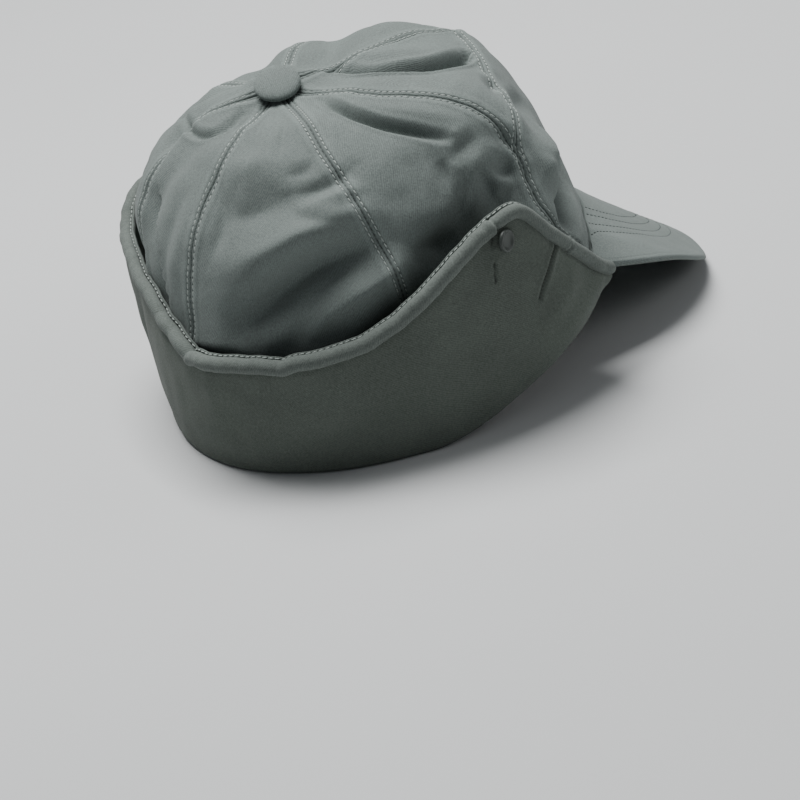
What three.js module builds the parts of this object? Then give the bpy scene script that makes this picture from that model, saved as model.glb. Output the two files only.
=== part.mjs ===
// A twill work cap with a peak and an ear and neck flap folded up round its crown.
// Millimetres, +Z up, the peak points along -Y, the wearer's right is -X.
// The cap stands on the bottom of the folded flap at the back and on the tip of its peak.

import * as THREE from 'three';

// Driving dimensions

const ORIGIN_SHIFT = { x: 0.165, y: 19.64 };  // puts the middle of the plan at the origin
const CROWN_TOP = { x: 0, y: 28, z: 129 };   // where the crown seams meet
const CLOTH = 1.6;                           // crown cloth with its seam allowances
const FLAP_CLOTH = 2.2;                      // two layers of the same twill
const SEAM_GAP = 0.3;                        // parting line between neighbouring panels
const FRONT_LIFT = 32;                       // height of the fold at the flap's front ends
const FLAP_FRONT = 57;                       // azimuth of the flap's front ends, degrees
const FACING_TOP = 0.952;                    // flap facing inside the crown ends here
const CROWN_START = 3.2;                     // crown cloth starts this far above the fold
const HEM_RADIUS = 2.6;                      // rolled hem along the flap's upper edge
const PEAK_THICK = 2.6;
const PEAK_ROOT = 55.5;                      // azimuth of the peak's root ends, degrees
const PEAK_HALF_WIDTH = 77.5;
const PEAK_LENGTH = 52;                      // reach of the peak in front of the crown
const PEAK_CORNER_LIFT = 6;                  // rise of the peak's root ends on the crown
const BUTTON_RADIUS = 9.5;
const BUTTON_HEIGHT = 4.2;
const FLAP_BUTTON_RADIUS = 4.6;
const FLAP_BUTTON_THICK = 1.8;
const FLAP_BUTTON_AT = { azimuth: 86, up: 0.91 };

// Plan outline of the crown's lower edge. Azimuth runs from the front to the wearer's
// right, and the left half mirrors the right one.

const RIM = {
  azimuth: [0, 15, 30, 45, 60, 75, 90, 112, 135, 157, 180],
  radius: [91, 88.5, 87, 91, 97, 95.5, 93, 95, 100.5, 103.5, 103.5],
};

// The left rear of the lower edge is pushed in, and the crown above it a little more.

const PUSH = { azimuth: 200, width: 28, rim: 8, crown: 12 };

// The cloth round the top button leans this way, with the button on it.

const LEAN = { azimuth: 114, slope: 0.36, reach: 24, button: 0.33, lift: 0.4 };

// Crown profile, one row per azimuth. Columns run from the top down to the lower edge:
// out is the share of the way out to the rim, up the share of the crown's height.

const STATIONS = [0, 0.2, 0.4, 0.6, 0.75, 0.88, 1];
const PROFILE = [
  { azimuth: 0, out: [0, 0.285, 0.505, 0.705, 0.84, 0.935, 1], up: [1, 1, 1.02, 0.965, 0.7, 0.33, 0] },
  { azimuth: 35, out: [0, 0.315, 0.56, 0.74, 0.85, 0.935, 1], up: [1, 1, 0.985, 0.88, 0.63, 0.31, 0] },
  { azimuth: 65, out: [0, 0.34, 0.63, 0.84, 0.935, 0.985, 1], up: [1, 1, 0.965, 0.8, 0.58, 0.3, 0] },
  { azimuth: 90, out: [0, 0.34, 0.63, 0.85, 0.955, 1, 1], up: [1, 0.99, 0.925, 0.76, 0.56, 0.29, 0] },
  { azimuth: 135, out: [0, 0.33, 0.62, 0.84, 0.95, 1, 1], up: [1, 0.98, 0.895, 0.745, 0.565, 0.3, 0] },
  { azimuth: 180, out: [0, 0.33, 0.62, 0.83, 0.945, 1, 1], up: [1, 0.965, 0.86, 0.69, 0.49, 0.25, 0] },
];

// Crown seams on the wearer's right, azimuth at each share of the way down.

const SEAM_DOWN = [0, 0.12, 0.24, 0.36, 0.48, 0.6, 0.75, 0.85, 0.93, 1];
const SEAMS = {
  front: [0, 0, 0, 0, 0, 0, 0, 0, 0, 0],
  side_front: [67, 70, 74.5, 70, 66.5, 65, 65, 62, 56, 52],
  side_back: [112, 115, 117, 117, 115.5, 113.5, 110.5, 109, 108, 108],
  rear: [161, 161, 157.5, 158.5, 161, 162.5, 165, 166, 167, 167],
};

// Curved seam over the front panel, from the centre to its lower end on the right.

const FRONT_SEAM = {
  along: [0, 0.2, 0.4, 0.55, 0.66, 0.74, 0.8, 0.88, 0.94, 1],
  azimuth: [0, 14, 30, 46, 57, 63, 65, 64.5, 60, 52],
  down: [0.585, 0.585, 0.6, 0.605, 0.615, 0.65, 0.7, 0.79, 0.87, 1],
};

// Folds and dents of the crown cloth: a line from one point to another by way of a
// third, each an azimuth and a share of the way down; half width and depth in mm, with
// a negative depth for a ridge.

const FOLDS = [
  { from: [5, 0.16], by: [44, 0.3], to: [30, 0.53], width: 7, depth: 5 },
  { from: [100, 0.13], by: [95, 0.28], to: [82, 0.5], width: 6, depth: 3 },
  { from: [116, 0.68], by: [127, 0.76], to: [140, 0.85], width: 9, depth: 4 },
  { from: [120, 0.55], by: [130, 0.62], to: [145, 0.7], width: 9, depth: -2 },
  { from: [169, 0.1], by: [171, 0.17], to: [170, 0.25], width: 4, depth: 2 },
  { from: [92, 0.7], by: [97, 0.72], to: [101, 0.76], width: 8, depth: 4 },
  { from: [88, 0.55], by: [88, 0.6], to: [88, 0.66], width: 6, depth: 2.5 },
  { from: [68, 0.62], by: [70, 0.67], to: [71, 0.72], width: 6, depth: 2.5 },
  { from: [61, 0.76], by: [58, 0.82], to: [54, 0.88], width: 6, depth: 3 },
  { from: [-30, 0.14], by: [-50, 0.3], to: [-58, 0.48], width: 10, depth: 6 },
  { from: [-100, 0.15], by: [-92, 0.3], to: [-86, 0.48], width: 7, depth: 3 },
  { from: [-120, 0.6], by: [-132, 0.7], to: [-145, 0.8], width: 9, depth: 3.5 },
  { from: [186, 0.35], by: [189, 0.5], to: [190, 0.68], width: 8, depth: 3 },
  { from: [-66, 0.66], by: [-62, 0.76], to: [-56, 0.86], width: 7, depth: 3 },
  { from: [-70, 0.22], by: [-90, 0.24], to: [-112, 0.24], width: 15, depth: 4 },
  { from: [-12, 0.36], by: [-24, 0.42], to: [-32, 0.5], width: 16, depth: -4.5 },
];

// Flap: height of its hem above the table and how far the hem stands off the rim.

const FLAP = {
  azimuth: [57, 62, 68, 75, 82, 90, 98, 106, 114, 122, 135, 150, 157, 161, 165, 170, 180,
    192, 205, 212, 228, 245, 262, 278, 292, 303],
  height: [41.5, 49, 59.5, 73, 86, 82.5, 75.5, 66.5, 59, 54, 51.5, 50.5, 50, 50, 51.5, 54, 60,
    66, 70, 72, 79, 80, 82, 86, 62, 42],
  stand_off: [9, 7.5, 6, 5.5, 5, 6, 7, 7.5, 8, 9, 10, 7.7, 7.4, 5.3, 4.3, 2.3, 1.2,
    3, 5.3, 6.8, 6.6, 8, 6, 5, 6, 9],
};

// Peak: height of its outer edge, from the centre to the root end.

const PEAK_EDGE = { turn: [0, 20, 30, 45, 65, 90], height: [3.2, 4, 6.5, 15, 28.5, 42] };

// Interpolation through table columns, monotone between neighbouring rows.

function hermite(xs, ys) {
  const n = xs.length;
  const slopes = [];
  for (let i = 0; i < n - 1; i++) slopes.push((ys[i + 1] - ys[i]) / (xs[i + 1] - xs[i]));
  const m = [slopes[0]];
  for (let i = 1; i < n - 1; i++) {
    const a = slopes[i - 1];
    const b = slopes[i];
    m.push(a * b <= 0 ? 0 : (2 * a * b) / (a + b));
  }
  m.push(slopes[n - 2]);
  return (x) => {
    let i = 0;
    while (i < n - 2 && x > xs[i + 1]) i += 1;
    const h = xs[i + 1] - xs[i];
    const t = Math.min(Math.max((x - xs[i]) / h, 0), 1);
    const t2 = t * t;
    const t3 = t2 * t;
    return (2 * t3 - 3 * t2 + 1) * ys[i] + (t3 - 2 * t2 + t) * h * m[i]
      + (3 * t2 - 2 * t3) * ys[i + 1] + (t3 - t2) * h * m[i + 1];
  };
}

const wrap = (a) => ((a % 360) + 360) % 360;
const half = (a) => (wrap(a) > 180 ? 360 - wrap(a) : wrap(a));
const rad = THREE.MathUtils.degToRad;

const rimOf = hermite(RIM.azimuth, RIM.radius);
const pushShare = (a) => Math.exp(-(((wrap(a) - PUSH.azimuth) / PUSH.width) ** 2));
const rimRadius = (a) => rimOf(half(a)) - PUSH.rim * pushShare(a);
const smoothStep = (x) => {
  const c = Math.min(Math.max(x, 0), 1);
  return c * c * (3 - 2 * c);
};
const foldHeight = (a) => {
  const c = Math.min(Math.max((Math.cos(rad(a)) + 0.35) / 0.895, 0), 1.25);
  return FRONT_LIFT * c ** 1.4;
};
const onPlan = (a, r, z) => new THREE.Vector3(-r * Math.sin(rad(a)), -r * Math.cos(rad(a)), z);

const outRows = STATIONS.map((s, k) => hermite(PROFILE.map((p) => p.azimuth), PROFILE.map((p) => p.out[k])));
const upRows = STATIONS.map((s, k) => hermite(PROFILE.map((p) => p.azimuth), PROFILE.map((p) => p.up[k])));

// Smooth crown, before its folds: a is the azimuth, t the share of the way down.

function crownSmooth(a, t) {
  const h = half(a);
  const out = hermite(STATIONS, outRows.map((f) => f(h)))(t);
  const up = hermite(STATIONS, upRows.map((f) => f(h)))(t);
  const pushed = PUSH.crown * smoothStep((t - 0.6) / 0.28)
    - (PUSH.crown - PUSH.rim) * smoothStep((t - 0.87) / 0.13);
  const rim = onPlan(a, rimOf(h) - pushed * pushShare(a), 0);
  const z0 = foldHeight(a) + CROWN_START;
  const dx = (rim.x - CROWN_TOP.x) * out;
  const dy = (rim.y - CROWN_TOP.y) * out;
  const lean = onPlan(LEAN.azimuth, LEAN.slope, 0);
  const fade = Math.exp(-(dx * dx + dy * dy) / LEAN.reach ** 2);
  return new THREE.Vector3(
    CROWN_TOP.x + dx,
    CROWN_TOP.y + dy,
    z0 + (CROWN_TOP.z - z0) * up - (dx * lean.x + dy * lean.y) * fade,
  );
}

const foldLines = FOLDS.map((f) => {
  const points = [];
  for (let i = 0; i <= 10; i++) {
    const u = i / 10;
    const w = [(1 - u) * (1 - 2 * u), 4 * u * (1 - u), u * (2 * u - 1)];
    const a = w[0] * f.from[0] + w[1] * f.by[0] + w[2] * f.to[0];
    const t = w[0] * f.from[1] + w[1] * f.by[1] + w[2] * f.to[1];
    points.push(crownSmooth(a, t));
  }
  return { points, width: f.width, depth: f.depth };
});

function foldDepth(p) {
  let sum = 0;
  for (const f of foldLines) {
    let best = Infinity;
    let where = 0;
    f.points.forEach((q, i) => {
      const d = q.distanceTo(p);
      if (d < best) {
        best = d;
        where = i / 10;
      }
    });
    const taper = 0.35 + 0.65 * Math.sin(Math.PI * (0.12 + 0.76 * where));
    sum += f.depth * taper * Math.exp(-((best / f.width) ** 2));
  }
  return sum;
}

function normalAt(surface, a, t) {
  const e = 0.004;
  const da = surface(a + 0.6, t).sub(surface(a - 0.6, t));
  const dt = surface(a, Math.min(t + e, 1)).sub(surface(a, Math.max(t - e, 0.01)));
  return da.cross(dt).normalize();
}

// Crown cloth at a given depth under its outer face.

function crownPoint(a, t, under) {
  const p = crownSmooth(a, t);
  const n = normalAt(crownSmooth, a, t);
  const quiet = Math.min(1, (1 - t) / 0.12);
  return p.addScaledVector(n, -under - foldDepth(p) * quiet);
}

// A closed solid from two faces over the same grid: point(u, v, side) with side 0
// outside and side 1 inside.

function slab(point, nu, nv) {
  const vertices = [];
  const index = [];
  const id = (i, j, side) => (i * (nv + 1) + j) * 2 + side;
  for (let i = 0; i <= nu; i++) {
    for (let j = 0; j <= nv; j++) {
      for (let side = 0; side < 2; side++) {
        const p = point(i / nu, j / nv, side);
        vertices.push(p.x, p.y, p.z);
      }
    }
  }
  const quad = (a, b, c, d) => index.push(a, b, c, a, c, d);
  for (let i = 0; i < nu; i++) {
    for (let j = 0; j < nv; j++) {
      quad(id(i, j, 0), id(i, j + 1, 0), id(i + 1, j + 1, 0), id(i + 1, j, 0));
      quad(id(i, j, 1), id(i + 1, j, 1), id(i + 1, j + 1, 1), id(i, j + 1, 1));
    }
  }
  for (let i = 0; i < nu; i++) {
    quad(id(i, 0, 0), id(i + 1, 0, 0), id(i + 1, 0, 1), id(i, 0, 1));
    quad(id(i, nv, 0), id(i, nv, 1), id(i + 1, nv, 1), id(i + 1, nv, 0));
  }
  for (let j = 0; j < nv; j++) {
    quad(id(0, j, 0), id(0, j, 1), id(0, j + 1, 1), id(0, j + 1, 0));
    quad(id(nu, j, 0), id(nu, j + 1, 0), id(nu, j + 1, 1), id(nu, j, 1));
  }
  return toGeometry(vertices, index);
}

// A closed solid from sections along a path: section(i) gives a ring of points.

function loft(sections) {
  const n = sections[0].length;
  const vertices = [];
  const index = [];
  for (const ring of sections) {
    for (const p of ring) vertices.push(p.x, p.y, p.z);
  }
  for (let i = 0; i < sections.length - 1; i++) {
    for (let j = 0; j < n; j++) {
      const k = (j + 1) % n;
      index.push(i * n + j, (i + 1) * n + j, (i + 1) * n + k);
      index.push(i * n + j, (i + 1) * n + k, i * n + k);
    }
  }
  return { vertices, index, n, rows: sections.length };
}

function toGeometry(vertices, index) {
  let volume = 0;
  const at = (i) => new THREE.Vector3(vertices[3 * i], vertices[3 * i + 1], vertices[3 * i + 2]);
  for (let i = 0; i < index.length; i += 3) {
    volume += at(index[i]).dot(at(index[i + 1]).cross(at(index[i + 2]))) / 6;
  }
  const faces = index.slice();
  if (volume < 0) {
    for (let i = 0; i < faces.length; i += 3) {
      const keep = faces[i];
      faces[i] = faces[i + 1];
      faces[i + 1] = keep;
    }
  }
  const geometry = new THREE.BufferGeometry();
  geometry.setAttribute('position', new THREE.Float32BufferAttribute(vertices, 3));
  geometry.setIndex(faces);
  geometry.computeVertexNormals();
  return geometry;
}

// Crown panels

const seamOf = {};
for (const [name, column] of Object.entries(SEAMS)) seamOf[name] = hermite(SEAM_DOWN, column);
const frontAzimuth = hermite(FRONT_SEAM.along, FRONT_SEAM.azimuth);
const frontDown = hermite(FRONT_SEAM.along, FRONT_SEAM.down);

// Where the front seam lies above a given azimuth, up to where it turns down.

const TURN = 0.8;
function frontSeamDown(a) {
  let lo = 0;
  let hi = TURN;
  for (let i = 0; i < 30; i++) {
    const mid = (lo + hi) / 2;
    if (frontAzimuth(mid) < Math.abs(a)) lo = mid;
    else hi = mid;
  }
  return frontDown(lo);
}

// Azimuth of the side panel's front edge: its seam, then the front panel's lower edge.

const FRONT_LOW = { down: [0.7, 0.79, 0.87, 1], azimuth: [65, 64.5, 60, 52] };
const frontLow = hermite(FRONT_LOW.down, FRONT_LOW.azimuth);
const sideFront = (t) => (t < 0.7 ? seamOf.side_front(t) : frontLow(t));

const HOLE = 0.035;   // the panels stop this far down, under the top button
const FRONT_COLUMNS = 10;
const SIDE_ROWS = 15;

function inset(aLeft, aRight, u, t) {
  const r = Math.max(crownSmooth((aLeft + aRight) / 2, t).distanceTo(crownSmooth(0, 0)), 3);
  const gap = THREE.MathUtils.radToDeg(SEAM_GAP / 2 / r) * 1.4;
  const lo = aLeft + gap;
  const hi = aRight - gap;
  return lo + (hi - lo) * u;
}

function gore(left, right, bottom, mirror, nu, nv) {
  return slab((u, v, side) => {
    let a;
    let t;
    if (bottom) {
      const guess = inset(left(0.5), right(0.5), u, 0.5);
      let end = frontSeamDown(Math.min(guess, 64.9)) - 0.0018;
      t = HOLE + (end - HOLE) * v;
      a = inset(left(t), right(t), u, t);
      end = frontSeamDown(Math.min(a, 64.9)) - 0.0018;
      t = HOLE + (end - HOLE) * v;
    } else {
      t = HOLE + (1 - HOLE) * v;
      a = inset(left(t), right(t), u, t);
    }
    return crownPoint(mirror ? -a : a, t, side * CLOTH);
  }, nu, nv);
}

const backLeft = (t) => 360 - seamOf.rear(t);
const gores = {
  crown_gore_front_right: gore(seamOf.front, sideFront, true, false, FRONT_COLUMNS, 10),
  crown_gore_side_right: gore(sideFront, seamOf.side_back, false, false, 7, SIDE_ROWS),
  crown_gore_rear_right: gore(seamOf.side_back, seamOf.rear, false, false, 7, SIDE_ROWS),
  crown_gore_back: gore(seamOf.rear, backLeft, false, false, 7, SIDE_ROWS),
  crown_gore_rear_left: gore(seamOf.side_back, seamOf.rear, false, true, 7, SIDE_ROWS),
  crown_gore_side_left: gore(sideFront, seamOf.side_back, false, true, 7, SIDE_ROWS),
  crown_gore_front_left: gore(seamOf.front, sideFront, true, true, FRONT_COLUMNS, 10),
};

// Front panel: from the crown's lower edge up to the curved seam.

const alongFor = (reached, lo, hi) => {
  for (let i = 0; i < 30; i++) {
    const mid = (lo + hi) / 2;
    if (reached(mid)) hi = mid;
    else lo = mid;
  }
  return hi;
};
const panelColumns = [];
for (let i = 0; i <= FRONT_COLUMNS; i++) {
  const a = (64.95 * i) / FRONT_COLUMNS;
  panelColumns.push(alongFor((w) => frontAzimuth(w) >= a, 0, TURN));
}
for (let j = 0; j <= SIDE_ROWS; j++) {
  const t = HOLE + ((1 - HOLE) * j) / SIDE_ROWS;
  if (t > 0.71) panelColumns.push(alongFor((w) => frontDown(w) >= t, TURN, 1));
}
const last = panelColumns.length - 1;

const frontPanel = slab((u, v, side) => {
  const column = Math.round(2 * last * u) - last;
  const w = panelColumns[Math.abs(column)];
  const topA = Math.max(frontAzimuth(w) - (w > TURN ? 0.3 : 0.1), 0);
  const topT = Math.min(frontDown(w) + 0.0018, 1);
  const lowA = 51.4 * w;
  const a = (lowA + (topA - lowA) * v) * Math.sign(column);
  const t = 1 + (topT - 1) * v;
  return crownPoint(a, t, side * CLOTH);
}, 2 * last, 8);

// Flap: one cuff section swept round the head, with a flat underside where it stands.

const flapHeight = hermite(FLAP.azimuth, FLAP.height);
const flapStand = hermite(FLAP.azimuth, FLAP.stand_off);

function flapOuter(a, v) {
  const z0 = foldHeight(a);
  const z = z0 + (flapHeight(a) - HEM_RADIUS * 0.9 - z0) * v;
  const swell = 2.2 * Math.sin(Math.PI * v);
  const r = rimRadius(a) + 3.6 + (flapStand(a) - 2.2) * v ** 1.3 + swell;
  return { r, z };
}

function flapSection(a) {
  const ring = [];
  const z0 = foldHeight(a);
  const rim = rimRadius(a);
  const add = (r, z) => ring.push(onPlan(a, r, z));
  const rise = 6;
  for (let k = 0; k <= rise; k++) {
    const v = 0.05 + 0.95 * (k / rise);
    const p = flapOuter(a, v);
    add(p.r, p.z);
  }
  for (let k = rise; k >= 1; k--) {
    const v = 0.05 + 0.95 * (k / rise);
    const p = flapOuter(a, v);
    add(p.r - FLAP_CLOTH, p.z);
  }
  add(rim + 0.75, z0 + 3.4);
  add(rim + 0.35, z0 + 2.3);
  add(rim - CLOTH - 0.9, z0 + 2.1);
  const levels = [1, 0.98, FACING_TOP];
  for (const t of levels) ring.push(crownPoint(a, t, CLOTH + 0.9));
  for (const t of levels.reverse()) ring.push(crownPoint(a, t, CLOTH + 2.4));
  add(rim - CLOTH - 1.5, z0);
  add(rim + 2.2, z0);
  return ring;
}

function capped(sections) {
  const body = loft(sections);
  const { vertices, index, n, rows } = body;
  const ends = [[0, true], [rows - 1, false]];
  for (const [row, flip] of ends) {
    const ring = sections[row];
    const mid = ring[0].clone().add(ring[n - 1]).multiplyScalar(0.5);
    const flat = ring.map((p) => {
      const d = p.clone().sub(mid);
      const side = Math.hypot(d.x, d.y) * Math.sign(d.x * ring[0].x + d.y * ring[0].y);
      return new THREE.Vector2(side, d.z);
    });
    const turn = THREE.ShapeUtils.area(flat);
    for (const f of THREE.ShapeUtils.triangulateShape(flat, [])) {
      const along = THREE.ShapeUtils.area(f.map((k) => flat[k])) * turn > 0;
      const t = f.map((k) => row * n + k);
      if (along === flip) index.push(t[0], t[1], t[2]);
      else index.push(t[0], t[2], t[1]);
    }
  }
  return { vertices, index };
}

function sweep(section, from, to, steps) {
  const sections = [];
  for (let i = 0; i <= steps; i++) sections.push(section(from + ((to - from) * i) / steps));
  const body = capped(sections);
  return toGeometry(body.vertices, body.index);
}

const flap = sweep(flapSection, FLAP_FRONT, 360 - FLAP_FRONT, 60);

// Rolled hem: a round roll seated on the flap's upper edge.

function flapEdge(a) {
  const p = flapOuter(a, 1);
  return onPlan(a, p.r - FLAP_CLOTH / 2, p.z);
}

function hemSection(a) {
  const along = flapEdge(a + 0.6).sub(flapEdge(a - 0.6)).normalize();
  const side = new THREE.Vector3(-Math.sin(rad(a)), -Math.cos(rad(a)), 0);
  side.addScaledVector(along, -side.dot(along)).normalize();
  const up = new THREE.Vector3().crossVectors(side, along).normalize();
  if (up.z < 0) up.negate();
  const centre = flapEdge(a).addScaledVector(up, HEM_RADIUS + 0.4);
  const ring = [];
  for (let k = 0; k < 8; k++) {
    const q = (Math.PI * (2 * k + 1)) / 8;
    const p = centre.clone().addScaledVector(side, Math.cos(q) * HEM_RADIUS);
    ring.push(p.addScaledVector(up, Math.sin(q) * HEM_RADIUS));
  }
  return ring;
}

const hem = sweep(hemSection, FLAP_FRONT, 360 - FLAP_FRONT, 60);

// Peak: a crescent from its root on the crown's lower edge to its drooping outer edge.

const peakEdge = hermite(PEAK_EDGE.turn, PEAK_EDGE.height);

function peakTop(u, v) {
  const a = PEAK_ROOT * u;
  const root = onPlan(a, rimRadius(a) + 0.3, foldHeight(a) + 3 + PEAK_CORNER_LIFT * u ** 4);
  const q = (u * Math.PI) / 2;
  const yEnd = -rimRadius(PEAK_ROOT) * Math.cos(rad(PEAK_ROOT));
  const reach = RIM.radius[0] + yEnd + PEAK_LENGTH - 1.5;
  const edge = new THREE.Vector3(
    -PEAK_HALF_WIDTH * Math.sin(q),
    yEnd - 3 - reach * Math.cos(q) ** 0.9,
    peakEdge(Math.abs(u) * 90),
  );
  const p = root.clone().lerp(edge, v);
  p.z = root.z + (edge.z - root.z) * v ** 0.9;
  return p;
}

const peak = slab((u, v, side) => {
  const p = peakTop(2 * u - 1, v);
  p.z -= side * PEAK_THICK;
  return p;
}, 26, 6);

// Top button: a shallow cloth-covered dome.

const domeProfile = [
  [0, 0.3], [BUTTON_RADIUS - 0.8, 0.3], [BUTTON_RADIUS, 1.1], [BUTTON_RADIUS - 0.3, 2],
  [BUTTON_RADIUS * 0.84, 3.1], [BUTTON_RADIUS * 0.55, 3.9], [BUTTON_RADIUS * 0.25, BUTTON_HEIGHT],
  [0, BUTTON_HEIGHT + 0.1],
].map(([r, z]) => new THREE.Vector2(r, z));
const dome = new THREE.LatheGeometry(domeProfile, 28);

// Small dished buttons, lying against the flap below its ear tops.

const dishProfile = [
  [0, 0], [FLAP_BUTTON_RADIUS - 0.5, 0], [FLAP_BUTTON_RADIUS, 0.5],
  [FLAP_BUTTON_RADIUS, FLAP_BUTTON_THICK - 0.4], [FLAP_BUTTON_RADIUS - 0.5, FLAP_BUTTON_THICK],
  [FLAP_BUTTON_RADIUS - 1.3, FLAP_BUTTON_THICK - 0.4], [0, FLAP_BUTTON_THICK - 0.7],
].map(([r, z]) => new THREE.Vector2(r, z));
const dish = new THREE.LatheGeometry(dishProfile, 20);

// Materials

const cloth = (hex) => new THREE.MeshStandardMaterial({ color: hex, roughness: 0.92, metalness: 0 });
const crownCloth = 0x6f7a74;
const flapColour = 0x67726c;
const buttonColour = 0x565f5a;

const cap = new THREE.Group();
cap.position.set(ORIGIN_SHIFT.x, ORIGIN_SHIFT.y, 0);

function put(name, geometry, colour) {
  const mesh = new THREE.Mesh(geometry, cloth(colour));
  mesh.name = name;
  cap.add(mesh);
  return mesh;
}

for (const [name, geometry] of Object.entries(gores)) put(name, geometry, crownCloth);
put('crown_front_panel', frontPanel, crownCloth);
put('peak', peak, crownCloth);
put('ear_flap', flap, flapColour);
put('flap_hem', hem, flapColour);

const topButton = put('top_button', dome, crownCloth);
const buttonUp = onPlan(LEAN.azimuth, LEAN.button, 1).normalize();
topButton.quaternion.setFromUnitVectors(new THREE.Vector3(0, 1, 0), buttonUp);
topButton.position.set(CROWN_TOP.x, CROWN_TOP.y, CROWN_TOP.z).addScaledVector(buttonUp, LEAN.lift);

function flapButton(name, azimuth) {
  const mesh = put(name, dish, buttonColour);
  const at = (a, v) => {
    const p = flapOuter(wrap(a), v);
    return onPlan(a, p.r, p.z);
  };
  const up = FLAP_BUTTON_AT.up;
  const da = at(azimuth + 2, up).sub(at(azimuth - 2, up));
  const dv = at(azimuth, up + 0.06).sub(at(azimuth, up - 0.06));
  const n = da.cross(dv).normalize();
  const p = at(azimuth, up);
  if (n.x * p.x + n.y * p.y < 0) n.negate();
  mesh.quaternion.setFromUnitVectors(new THREE.Vector3(0, 1, 0), n);
  mesh.position.copy(p.addScaledVector(n, 0.35));
}

flapButton('flap_button_right', FLAP_BUTTON_AT.azimuth);
flapButton('flap_button_left', -FLAP_BUTTON_AT.azimuth);

export default cap;
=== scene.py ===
import math

import bmesh
import bpy
import numpy as np
from mathutils import Matrix, Vector, noise


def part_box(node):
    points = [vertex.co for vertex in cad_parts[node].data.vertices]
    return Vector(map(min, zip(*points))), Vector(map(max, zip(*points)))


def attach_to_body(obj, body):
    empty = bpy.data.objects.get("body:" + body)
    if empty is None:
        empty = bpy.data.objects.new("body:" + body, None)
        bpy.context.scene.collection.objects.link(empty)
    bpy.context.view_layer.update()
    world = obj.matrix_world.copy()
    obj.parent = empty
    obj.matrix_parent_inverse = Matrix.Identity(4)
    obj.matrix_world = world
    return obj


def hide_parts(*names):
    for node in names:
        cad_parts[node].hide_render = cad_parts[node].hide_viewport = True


bl_info = {
    "name": "Twill Work Cap",
    "version": (1, 0, 0),
    "blender": (4, 5, 0),
    "location": "3D View > Sidebar > Cap",
    "description": "Builds the cloth, seams and buttons of a work cap around its packed model",
    "category": "Object",
}

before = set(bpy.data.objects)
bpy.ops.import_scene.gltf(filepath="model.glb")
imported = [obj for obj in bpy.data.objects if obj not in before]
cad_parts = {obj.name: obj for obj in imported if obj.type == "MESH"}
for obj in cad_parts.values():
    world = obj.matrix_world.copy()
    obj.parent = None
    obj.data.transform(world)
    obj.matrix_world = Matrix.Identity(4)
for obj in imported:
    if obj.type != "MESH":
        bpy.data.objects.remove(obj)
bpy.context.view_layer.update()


def table(columns, *rows):
    """Rows of a table under its columns' names."""
    return [dict(zip(columns.split(), row)) for row in rows]


# Sizes here are millimetres in the model's frame: +Z up, the peak along -Y, and
# azimuth running from the front to the wearer's right, which is -X.

METRE = 0.001
# Added to a point here, it places the point in the frame, whose origin is the plan's middle.
ORIGIN_SHIFT = np.array([0.165, 19.64, 0.0])
CROWN_TOP = np.array([0.0, 28.0, 129.0])
# The crown's lower edge lies this far over the flap's fold, which rises in front.
CROWN_START = 3.2
FRONT_LIFT = 32.0
# Azimuths of the flap's front ends, the peak's ends and the front panel's lower corners
FLAP_FRONT = 57.0
PEAK_ROOT = 55.5
PANEL_FOOT = 51.4
# The gore in front meets the panel's seam up to here.
PANEL_SIDE = 64.9
PEAK_HALF_WIDTH = 77.5
PEAK_LENGTH = 52.0
PEAK_CORNER_LIFT = 6.0
# Shares: where the gores start under the top button, where along its seam the panel's top
# ends, and how far down the crown the facing inside reaches up.
HOLE = 0.035
CORNER = 0.8
FACING_TOP = 0.952
# Folds fade out over this share of the way down, at the crown's lower edge.
QUIET = 0.12

RIM = {
    "azimuth": [0, 15, 30, 45, 60, 75, 90, 112, 135, 157, 180],
    "radius": [91, 88.5, 87, 91, 97, 95.5, 93, 95, 100.5, 103.5, 103.5],
}
# The left rear of the lower edge is pushed in, and the crown above it a little more.
PUSH = {"azimuth": 200, "width": 28, "rim": 8, "crown": 12}
# The cloth round the top button leans this way, with the button on it.
LEAN = {"azimuth": 114, "slope": 0.36, "reach": 22, "far_slope": 0.93, "far_reach": 15.5,
        "button": 0.5, "lift": 1.7}
STATIONS = [0, 0.2, 0.4, 0.6, 0.75, 0.88, 1]
PROFILE = table(
    "azimuth out up",
    (0, [0, 0.285, 0.505, 0.705, 0.84, 0.935, 1], [1, 1, 1.02, 0.965, 0.7, 0.33, 0]),
    (35, [0, 0.315, 0.56, 0.74, 0.85, 0.935, 1], [1, 1, 0.985, 0.88, 0.63, 0.31, 0]),
    (65, [0, 0.34, 0.63, 0.84, 0.935, 0.985, 1], [1, 1, 0.965, 0.8, 0.58, 0.3, 0]),
    (90, [0, 0.34, 0.63, 0.85, 0.955, 1, 1], [1, 0.99, 0.925, 0.76, 0.56, 0.29, 0]),
    (135, [0, 0.33, 0.62, 0.84, 0.95, 1, 1], [1, 0.98, 0.895, 0.745, 0.565, 0.3, 0]),
    (180, [0, 0.33, 0.62, 0.83, 0.945, 1, 1], [1, 0.965, 0.86, 0.69, 0.49, 0.25, 0]),
)
SEAM_DOWN = [0, 0.12, 0.24, 0.36, 0.48, 0.6, 0.75, 0.85, 0.93, 1]
SEAMS = {
    "side_front": [67, 70, 74.5, 70, 66.5, 65, 65, 62, 56, 52],
    "side_back": [112, 115, 117, 117, 115.5, 113.5, 110.5, 109, 108, 108],
    "rear": [161, 161, 157.5, 158.5, 161, 162.5, 165, 166, 167, 167],
}
FRONT_SEAM = {
    "along": [0, 0.2, 0.4, 0.55, 0.66, 0.74, 0.8, 0.88, 0.94, 1],
    "azimuth": [0, 14, 30, 46, 57, 63, 65, 67, 62.5, 52],
    "down": [0.585, 0.585, 0.6, 0.605, 0.615, 0.65, 0.7, 0.79, 0.87, 1],
}
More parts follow.
